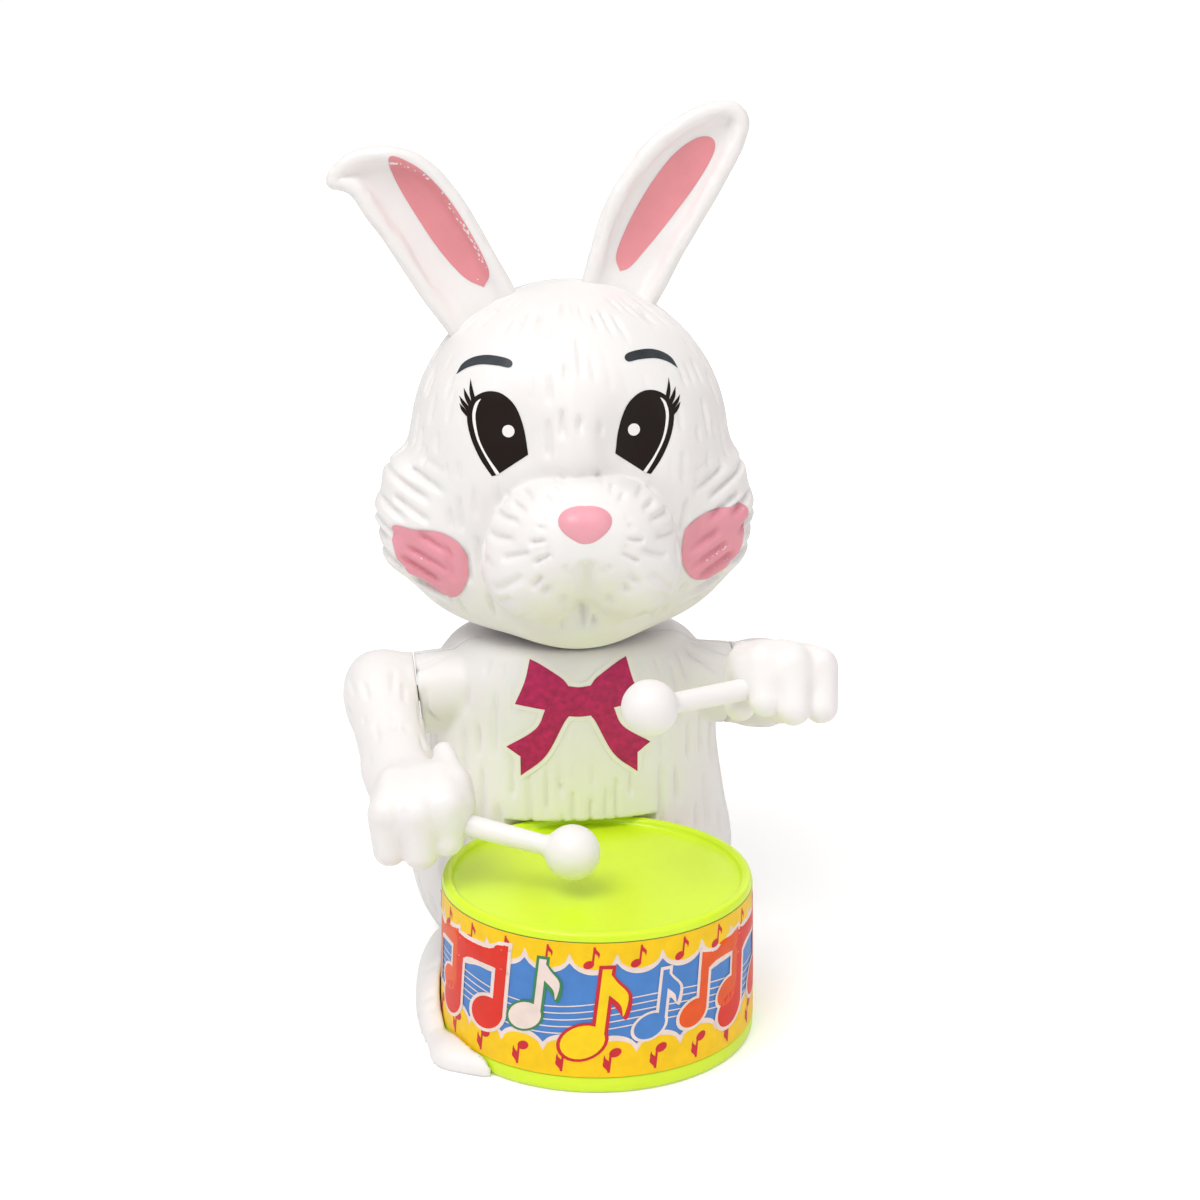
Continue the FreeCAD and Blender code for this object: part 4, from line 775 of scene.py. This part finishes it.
def body_field(p, carved=True, floor=True):
    """Oval stack with a round tail, shoulder bosses and a nest for the drum."""
    x, y, z = p[0], p[1] - BODY_MIDDLE, p[2]
    wide = np.interp(z, BODY_RINGS[:, 0], BODY_RINGS[:, 1])
    deep = np.interp(z, BODY_RINGS[:, 0], BODY_RINGS[:, 2])
    reach = np.sqrt((x / wide) ** 2 + (y / deep) ** 2)
    shape = (reach - 1) * deep * (0.2 + 0.8 / np.maximum(reach, 0.6))
    lid = z - (BODY_TOP - 0.1)
    shape = in_both(shape, lid, 1.6)
    tail = ball(p, (0, 18.6, 6.6), 5.1)
    shape = join(shape, tail, 0.8)
    spot = joint_spot("left_arm_beat")
    side = np.abs(x)
    c, s = math.cos(SHOULDER_LEAN), math.sin(SHOULDER_LEAN)
    along = (side - spot[0]) * c - (z - spot[2]) * s
    above = (side - spot[0]) * s + (z - spot[2]) * c
    boss = np.maximum(round_bar(p[1], above, SHOULDER_R), along + BOSS_FACE)
    shape = join(shape, np.maximum(boss, 16.0 - side), 0.5)
    if carved:
        turn = np.arctan2(x, -y)
        hair = strokes(turn * 19.0, z, 2.6, 12.0, 0.36, 21.0, 0.72) * 0.55
        hair = hair * ramp(z, 0.5, 4.0) * (1 - ramp(z, 45.0, 47.5))
        bow = np.exp(-((x / 11.5) ** 8 + ((z - 40.0) / 10.5) ** 8)) * (y < 0)
        shape = shape + hair * (1 - bow)
    nest = round_bar(p[0] - DRUM[0], p[1] - DRUM[1], DRUM_R + 0.35)
    space = np.maximum(nest, z - (DRUM_TOP + 0.5))
    shape = cut_out(shape, space, 0.35)
    return np.maximum(shape, GROUND_GAP - z) if floor else shape


def make_body():
    key_spot = joint_spot("winder_spin")

    def wall(p):
        key_hole = round_bar(p[0] - key_spot[0], p[2] - key_spot[2], KEY_HOLE_R)
        key_hole = np.maximum(key_hole, 12.0 - p[1])
        shell = hollow(body_field(p), body_field(p, False, False), BODY_WALL)
        return np.maximum(shell, -key_hole)

    chest, back = halves(("body_front", "body_back"), wall, box_mm("body_front_shell")[1][1],
                         (-27, -14, -1.5), (27, 26, BODY_TOP + 1.5), cell_size(0.45))
    finish_piece(chest, ROOT, "white_plastic", "body_front_shell")
    finish_piece(back, ROOT, "white_plastic", "body_rear_shell")
    return chest


def make_bow(chest):
    middle = sum(box_mm("bow_sticker")) / 2
    half = [(0.0, 45.0), (1.6, 45.2, "corner"), (2.6, 46.4), (5.4, 48.2),
            (7.0, 48.9, "corner"), (7.9, 45.6), (9.3, 42.3, "corner"), (5.0, 41.6, "corner"),
            (6.4, 38.6), (10.6, 35.6, "corner"), (8.6, 34.2, "corner"),
            (8.6, 31.2, "corner"), (5.0, 34.4), (2.4, 39.4), (1.6, 40.6, "corner"),
            (0.0, 40.5)]
    left = [(-x, z, *rest) for x, z, *rest in half[1:-1]][::-1]
    loop = (smooth_line(half + left, 6) - (0.4, 40.2)) * (1.0, 0.98) - (0, 1.3)
    edge = outset(loop, 0.7)
    wrap = layer_on(chest, (0, middle[1] - 8, 40.2), (0, -1, 0))
    printed("bow_sticker_print", [([edge], PAPER, 0.07), ([loop], MAGENTA, 0.13)], wrap,
            0.4, "bow_print", "bow_sticker")


def outset(loop, distance):
    """The line moved outward all round."""
    before, after = np.roll(loop, 1, axis=0), np.roll(loop, -1, axis=0)
    along = after - before
    along /= np.maximum(np.linalg.norm(along, axis=1), 1e-9)[:, None]
    normal = np.stack([along[:, 1], -along[:, 0]], axis=1)
    area = np.sum(loop[:, 0] * after[:, 1] - after[:, 0] * loop[:, 1])
    return loop + normal * distance * (1 if area > 0 else -1)


# ---- arms ----

def make_arm(word, side):
    """An arm and its stick, built along the directions that the shoulder's tilt gives."""
    spot = joint_spot(word + "_arm_beat")
    angle = math.radians({"right": -15.4, "left": 17.2}[word])
    c, s = math.cos(SHOULDER_LEAN), math.sin(SHOULDER_LEAN)
    outward = np.array([side * c, 0, -s])
    upright = np.array([side * s, 0, c])
    forward = np.array([0, -1, 0]) * math.cos(angle) + upright * math.sin(angle)
    raised = np.cross(forward, outward) * side
    rows = np.stack([outward, forward, raised])

    def local(p):
        d = [p[i] - spot[i] for i in range(3)]
        return [sum(rows[k][i] * d[i] for i in range(3)) for k in range(3)]

    def field(p):
        q = local(p)
        upper = limb(q, (0.6, 0, 0.6), (-0.6, 20, -0.6), 5.4, 4.7)
        upper = join(upper, egg(q, (0.6, 0.0, 0.0), (5.2, 6.6, 6.7), 2.5), 2.0)
        collar = np.maximum(round_bar(q[1], q[2], SHOULDER_R), np.abs(q[0] + 3.0) - 2.4)
        upper = join(upper, collar, 1.0)
        wrist = limb(q, (-0.6, 18, -0.6), (-2.4, 26, 0.6), 4.7, 4.3)
        shape = join(upper, wrist, 2.0)
        palm = egg(q, (-3.4, 29.3, 1.1), (7.2, 6.0, 4.8), 2.2)
        shape = join(shape, palm, 2.2)
        for l, f, tip_l, tip_f, tip_u, thick in ((1.5, 31.8, 1.7, 33.0, -3.0, 2.6),
                                                 (-2.6, 32.8, -2.4, 34.0, -3.4, 2.7),
                                                 (-6.6, 31.8, -6.2, 33.2, -2.6, 2.5),
                                                 (-8.0, 27.2, -8.6, 28.4, -3.4, 2.5)):
            finger = limb(q, (l, f, 1.9), (tip_l, tip_f, tip_u), thick, thick - 0.3)
            knuckle = limb(q, (l * 0.8 - 0.8, f - 5.0, 4.1), (l, f + 0.6, 3.1), 1.5, 1.9)
            shape = join(join(shape, finger, 0.7), knuckle, 1.1)
        hair = strokes(np.arctan2(q[2], q[0]) * 5.0, q[1], 2.4, 9.0, 0.4, 31.0, 0.6) * 0.3
        shape = shape + hair * ramp(q[1], -2.0, 2.0) * (1 - ramp(q[1], 18.0, 22.0))
        flat = np.maximum(shape, -(q[0] + ARM_FACE))
        return np.where(q[1] < 9.0, flat, shape)

    moulded("arm_" + word, field, 3.2, cell_size(0.4), word + "_arm")
    world = rows.T
    hand = spot + world @ np.array([-3.5, 30.0, 0.0])
    tip = spot + world @ np.array([-22.7, 37.3, -4.4])

    def stick_field(p):
        bar = limb(p, hand, tip, 1.6, 1.35)
        return join(bar, ball(p, tip, 3.8), 0.7)

    moulded("drumstick_" + word, stick_field, 1.5, 0.4, word + "_arm")


# ---- feet ----

def make_feet():
    """Two feet beside the drum, the left one drawn back as its CAD node is."""
    for word, side in (("right", -1), ("left", 1)):
        ahead = box_mm("foot_" + word)[0][1] + FOOT_FRONT

        def field(p):
            m = [p[0] * side + (FOOT_DRAWN_IN if side > 0 else 0), p[1] - ahead, p[2]]
            sole = egg(m, (17.5, -23.5, 0.4), (7.9, 19.5, 9.6), 2.2)
            slope = (p[2] - 2.2 - 0.55 * np.maximum(m[1] + 34.0, 0)) * 0.85
            shape = in_both(sole, slope, 1.8)
            for across, reach, wide in ((20.2, -38.6, 3.6), (16.2, -40.6, 3.2)):
                toe = egg(m, (across, reach, 0.4), (wide, 3.8, 2.6))
                shape = join(shape, toe, 1.4)
            hair = strokes(p[1] * 0.8, p[2], 3.0, 7.0, 0.4, 41.0, 0.7) * 0.25
            shape = shape + hair * ramp(p[2], 2.5, 4.0)
            nest = round_bar(p[0] - DRUM[0], p[1] - DRUM[1], DRUM_R + 0.2)
            shape = cut_out(shape, nest, 0.3)
            shape = np.maximum(shape, GROUND_GAP - p[2])
            return np.maximum(shape, -body_field(p, False) + 0.1)

        moulded("foot_" + word, field, 3.5, 0.45)


# ---- drum ----

DRUM_TAPER = 0.5        # how much narrower the drum is at the top
DRUM_ROUND = 2 * math.pi * DRUM_R


def spun(profile, centre, around=160):
    """A closed ring-shaped solid from a profile of (radius, height) points."""
    n = len(profile)
    turn = np.linspace(0, 2 * math.pi, around, endpoint=False)
    points = [(centre[0] + r * math.cos(t), centre[1] + r * math.sin(t), z)
              for t in turn for r, z in profile]
    faces = [[i * n + j, ((i + 1) % around) * n + j, ((i + 1) % around) * n + j + 1,
              i * n + j + 1] for i in range(around) for j in range(n - 1)]
    faces.append([i * n for i in range(around)][::-1])
    faces.append([i * n + n - 1 for i in range(around)])
    return points, faces


def make_drum():
    """One profile from the underside's middle, up the wall and over the rim, to the top's."""
    base, top = DRUM_R, DRUM_R - DRUM_TAPER
    inner = DRUM_R - 2.0
    profile = smooth_line([
        (0.4, DRUM_TOP - 2.6, "corner"), (base - 2.4, DRUM_TOP - 2.6, "corner"),
        (base - 2.0, 0.04, "corner"), (base - 0.9, 0.02, "corner"), (base - 0.25, 0.15),
        (base, 0.8), (base - 0.02, 2.0),
        (base - 0.08, label_low[2] - 0.15, "corner"), (base - 0.22, label_low[2], "corner"),
        (top - 0.1, label_high[2], "corner"), (top + 0.12, label_high[2] + 0.15, "corner"),
        (top + 0.06, DRUM_TOP - 1.0), (top - 0.12, DRUM_TOP - 0.28), (top - 0.6, DRUM_TOP),
        (inner + 0.55, DRUM_TOP - 0.02), (inner + 0.16, DRUM_TOP - 0.25),
        (inner - 0.05, DRUM_TOP - 0.75), (inner - 0.5, DRUM_TOP - 1.0),
        (inner - 2.5, DRUM_TOP - 1.02), (inner * 0.5, DRUM_TOP - 1.0),
        (0.4, DRUM_TOP - 0.98)], 5, closed=False)
    points, faces = spun([tuple(row) for row in profile], DRUM)
    for side in (-1, 1):    # the posts that its screws go into
        boss, sides = spun([(0.3, 2.2), (2.8, 2.2), (2.8, DRUM_TOP - 2.0),
                            (0.3, DRUM_TOP - 2.0)], DRUM + np.array([7.5 * side, 0, 0]), 32)
        faces += [[i + len(points) for i in face] for face in sides]
        points += boss
    drum = mesh_object("drum_moulding", points, faces, [LIME])
    face_outward(drum)
    finish_piece(drum, ROOT, "lime_plastic", "drum_shell")


def on_drum(flat, lift):
    """Wraps a flat strip round the drum: distance round from the front, height."""
    flat = np.asarray(flat)
    slope = DRUM_TAPER / DRUM_TOP
    radius = DRUM_R - slope * flat[:, 1] - 0.02 + lift
    turn = flat[:, 0] / DRUM_R
    return np.stack([DRUM[0] + radius * np.sin(turn), DRUM[1] - radius * np.cos(turn),
                     flat[:, 1]], axis=1)


def quaver(x, z, height, grow=0.0, flags=1, flip=False, lean=0.12):
    """A generic musical note: tilted head, stem and curled flags, or the same upside down.

    grow widens every part, for the outline behind the note.
    """
    s = height / 10
    up = -1 if flip else 1
    head = disc((x, z), 2.5 * s + grow, 0.78, 0.35, 24)
    stem_x, stem_top, half = x + 1.75 * s, z + 8.6 * s, 0.52 * s
    stem = np.array([(stem_x - half - grow, z), (stem_x + half + grow, z),
                     (stem_x + half + grow, stem_top + grow),
                     (stem_x - half - grow, stem_top + grow)])
    loops = [head, stem]
    for number in range(flags):
        top = stem_top - number * 2.1 * s
        line = [(stem_x, top + grow, "corner"), (stem_x + 1.2 * s, top - 1.5 * s + grow),
                (stem_x + 2.7 * s + grow, top - 3.2 * s),
                (stem_x + 2.4 * s + grow, top - 5.6 * s - grow),
                (stem_x + 1.9 * s - grow, top - 4.2 * s - grow),
                (stem_x, top - 2.6 * s - grow, "corner")]
        loops.append(smooth_line(line, 5))
    turned = []
    for loop in loops:
        d = (loop - (x, z)) * up
        turned.append(np.stack([d[:, 0] + d[:, 1] * lean + x, d[:, 1] + z], axis=1))
    return turned


def beamed(x, z, height, grow=0.0, lean=0.1):
    """Two notes joined by a thick beam."""
    s = height / 10
    gap = 7.0 * s
    loops = []
    for number in (0, 1):
        at = x + number * gap
        rise = number * 0.9 * s
        loops.append(disc((at, z + rise), 2.4 * s + grow, 0.8, 0.35, 26))
        stem = at + 1.6 * s
        loops.append(np.array([(stem - 0.75 * s - grow, z + rise),
                               (stem + 0.75 * s + grow, z + rise),
                               (stem + 0.75 * s + grow, z + rise + 8.0 * s),
                               (stem - 0.75 * s - grow, z + rise + 8.0 * s)]))
    left, right = x + 0.85 * s - grow, x + gap + 2.35 * s + grow
    loops.append(np.array([(left, z + 5.7 * s - grow), (right, z + 6.7 * s - grow),
                           (right, z + 9.5 * s + grow), (left, z + 8.5 * s + grow)]))
    return [np.stack([loop[:, 0] + (loop[:, 1] - z) * lean, loop[:, 1]], axis=1)
            for loop in loops]


def scalloped(edge_z, far_z, bumps, depth, shift, wider, taller):
    """A band round the whole drum with a row of round bumps along one edge."""
    pitch = DRUM_ROUND / bumps
    reach = pitch / 2 + wider
    line = []
    for step in range(bumps * 10 + 1):
        across = (step / 10 % 1 - 0.5) * pitch
        bulge = math.sqrt(max(0.0, 1 - (across / reach) ** 2))
        line.append((-DRUM_ROUND / 2 + step / 10 * pitch + shift,
                     edge_z + (depth + taller) * bulge))
    far_edge = [(line[-1][0] - DRUM_ROUND * step / 160, far_z) for step in range(161)]
    return np.array(line + far_edge)


def make_label():
    """Blue ground, wavy stave, scalloped borders with small notes, and large notes."""
    low, high = label_low[2], label_high[2]
    strip = np.array([(-DRUM_ROUND / 2 + DRUM_ROUND * i / 200, low) for i in range(201)]
                     + [(DRUM_ROUND / 2 - DRUM_ROUND * i / 200, high) for i in range(201)])
    layers = [([strip], BLUE, 0.04)]
    for line in range(5):
        z = low + 6.6 + 0.95 * line
        wave = [(-DRUM_ROUND / 2 + DRUM_ROUND * i / 240, z + 0.8 * math.sin(i * 0.105 + 0.4))
                for i in range(241)]
        layers.append(([np.array(wave + [(a, b + 0.17) for a, b in wave[::-1]])], PALE, 0.06))
    bumps = 22
    pitch = DRUM_ROUND / bumps
    for edge, far, depth, shift in ((high - 1.5, high, -2.2, 0.0), (low + 3.3, low, 1.9, 2.6)):
        more = math.copysign(0.75, depth)
        layers.append(([scalloped(edge, far, bumps, depth, shift, 0.4, more)], PALE, 0.08))
        layers.append(([scalloped(edge, far, bumps, depth, shift, 0.0, 0.0)], YELLOW, 0.10))
    for number in range(bumps):
        x = -DRUM_ROUND / 2 + (number + 0.5) * pitch
        layers.append((quaver(x - 0.6, high - 3.0, 2.9), CRIMSON, 0.12))
        layers.append((quaver(x + 2.9, low + 3.5, 3.3, flags=2, flip=True), CRIMSON, 0.12))
    # placed from the left: shape, distance round, height of its head, size, colour, outline
    emblems = [(beamed, -27.6, 7.8, 12.2, RED, PALE, 0.6),
               (quaver, -12.6, 10.2, 9.8, PALE, GREEN, 0.4),
               (quaver, -4.6, 7.4, 12.0, GOLD, CRIMSON, 0.5),
               (quaver, 4.4, 9.2, 8.8, BLUE, PALE, 0.45),
               (beamed, 11.0, 9.6, 9.6, ORANGE, PALE, 0.5)]
    for turn in range(-1, 2):
        for shape, x, z, height, colour, rim, edge in emblems:
            at = x + turn * DRUM_ROUND / 3
            layers.append((shape(at, z, height, edge), rim, 0.135))
            layers.append((shape(at, z, height, 0.0), colour, 0.15))
    printed("drum_label_print", layers, on_drum, 1.1, "label_print", "drum_label")


# ---- key ----

def make_key():
    """Two round wings with a hole each, a bridge between them and a stem."""
    lows, highs = box_mm("winding_key")
    middle = (lows + highs) / 2
    back = highs[1] - 5.6
    spread = highs[0] - 5.6

    def field(p):
        x, y, z = np.abs(p[0]), p[1], p[2] - middle[2]
        stem = round_bar(p[0], z, 2.45)
        stem = np.maximum(stem, np.abs(y - (lows[1] + 6)) - 6)
        flat = round_bar(x - spread, y - back, 5.5)
        bridge = np.maximum(np.abs(y - (back - 1.5)) - 3.2, x - spread)
        flat = join(flat, bridge, 2.0)
        flat = cut_out(flat, round_bar(x - spread, y - back, 2.6), 0.5)
        wing = in_both(flat, np.abs(z) - 1.45, 0.9)
        return join(wing, stem, 1.2)

    moulded("winding_key", field, 1.2, 0.4, "winder")


# ---- CAD nodes that stay: they get their material here ----

def dress_cad_nodes():
    materials = {"screw_steel": STEEL, "plate_steel": STEEL, "arbor_steel": STEEL,
                 "spring_steel": DARK_STEEL, "wheel_brass": BRASS, "inner_plastic": INNER,
                 "white_plastic": WHITE, "lime_plastic": LIME, "bow_print": MAGENTA,
                 "label_print": YELLOW}
    slots = {part["node"]: part["material_slot"] for part in frame["record"]["subparts"]}
    for name, piece in frame["nodes"].items():
        for item in piece.material_slots:
            item.material = materials[slots[name]]


# ---- studio ----

def make_studio():
    floor_mesh = bmesh.new()
    bmesh.ops.create_grid(floor_mesh, x_segments=1, y_segments=1, size=2.5)
    mesh = bpy.data.meshes.new("floor")
    floor_mesh.to_mesh(mesh)
    floor_mesh.free()
    floor = bpy.data.objects.new("floor", mesh)
    floor.location.z = -0.00005
    bpy.context.scene.collection.objects.link(floor)
    material, tree, shader = new_material("floor_white")
    set_inputs(shader, Base_Color=(0.93, 0.93, 0.93, 1), Roughness=0.85,
               Emission_Color=(1, 0.995, 0.99, 1))
    # the floor brightens away from the toy until it meets the backdrop
    place = tree.nodes.new("ShaderNodeNewGeometry")
    away = tree.nodes.new("ShaderNodeVectorMath")
    away.operation = "LENGTH"
    glow = node_of(tree, "ShaderNodeMapRange", From_Min=0.12, From_Max=0.7, To_Min=0.24,
                   To_Max=1.0)
    seen = tree.nodes.new("ShaderNodeLightPath")
    shown = tree.nodes.new("ShaderNodeMath")
    shown.operation = "MULTIPLY"
    wire(tree, (place, "Position", away, 0), (away, "Value", glow, "Value"),
         (glow, "Result", shown, 0), (seen, "Is Camera Ray", shown, 1),
         (shown, "Value", shader, "Emission Strength"))
    mesh.materials.append(material)
    floor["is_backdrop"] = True
    world = bpy.data.worlds.new("studio")
    world.use_nodes = True
    tree = world.node_tree
    backdrop = tree.nodes["Background"]
    backdrop.inputs["Color"].default_value = (1.0, 0.985, 0.98, 1)
    path = tree.nodes.new("ShaderNodeLightPath")
    # from what lights the toy to what the camera sees behind it
    level = node_of(tree, "ShaderNodeMapRange", To_Min=0.4, To_Max=1.05)
    wire(tree, (path, "Is Camera Ray", level, "Value"), (level, "Result", backdrop, "Strength"))
    bpy.context.scene.world = world
    add_light("sun_light", "SUN", (-0.2, -0.25, 1.0), 1.1, (1.0, 0.99, 0.98), angle=1.4)
    add_light("key_light", "AREA", (-0.3, -0.35, 0.75), 2.7, (1.0, 0.985, 0.97), size=0.45)
    add_light("fill_light", "AREA", (0.5, -0.5, 0.3), 0.8, (1.0, 0.95, 0.93), size=0.6)
    add_light("rim_light", "AREA", (0.3, 0.6, 0.35), 0.7, (1.0, 0.90, 0.87), size=0.5)


def add_light(name, kind, where, power, colour, **settings):
    lamp = bpy.data.lights.new(name, kind)
    lamp.energy = power
    lamp.color = colour
    for setting, value in settings.items():
        setattr(lamp, setting, value)
    holder = bpy.data.objects.new(name, lamp)
    holder.location = where
    aim = Vector((0, 0, 0.06)) - Vector(where)
    holder.rotation_euler = aim.to_track_quat("-Z", "Y").to_euler()
    bpy.context.scene.collection.objects.link(holder)


def make_camera():
    """Seen from a little to the toy's own right, and from above."""
    distance, azimuth, elevation = 300.0, math.radians(-7), math.radians(15.157)
    target = np.array([3.99, 0.0, 53.4])
    back = np.array([math.sin(azimuth) * math.cos(elevation),
                     -math.cos(azimuth) * math.cos(elevation), math.sin(elevation)])
    camera = bpy.data.cameras.new("camera")
    camera.lens = 60.35
    camera.sensor_width = 36
    holder = bpy.data.objects.new("camera", camera)
    holder.location = Vector((target + back * distance) * MM)
    holder.rotation_euler = Vector(-back).to_track_quat("-Z", "Y").to_euler()
    bpy.context.scene.collection.objects.link(holder)
    bpy.context.scene.camera = holder


bpy.context.scene.view_settings.view_transform = "Standard"
make_camera()
make_studio()
dress_cad_nodes()
make_face(make_head())
make_ears()
make_bow(make_body())
for word, side in (("right", -1), ("left", 1)):
    make_arm(word, side)
make_feet()
make_drum()
make_label()
make_key()

visual_box = [list(corner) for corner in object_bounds()]
({"cad": [[float(n) for n in c] for c in cad_box],
           "visual": [[float(n) for n in c] for c in visual_box]})
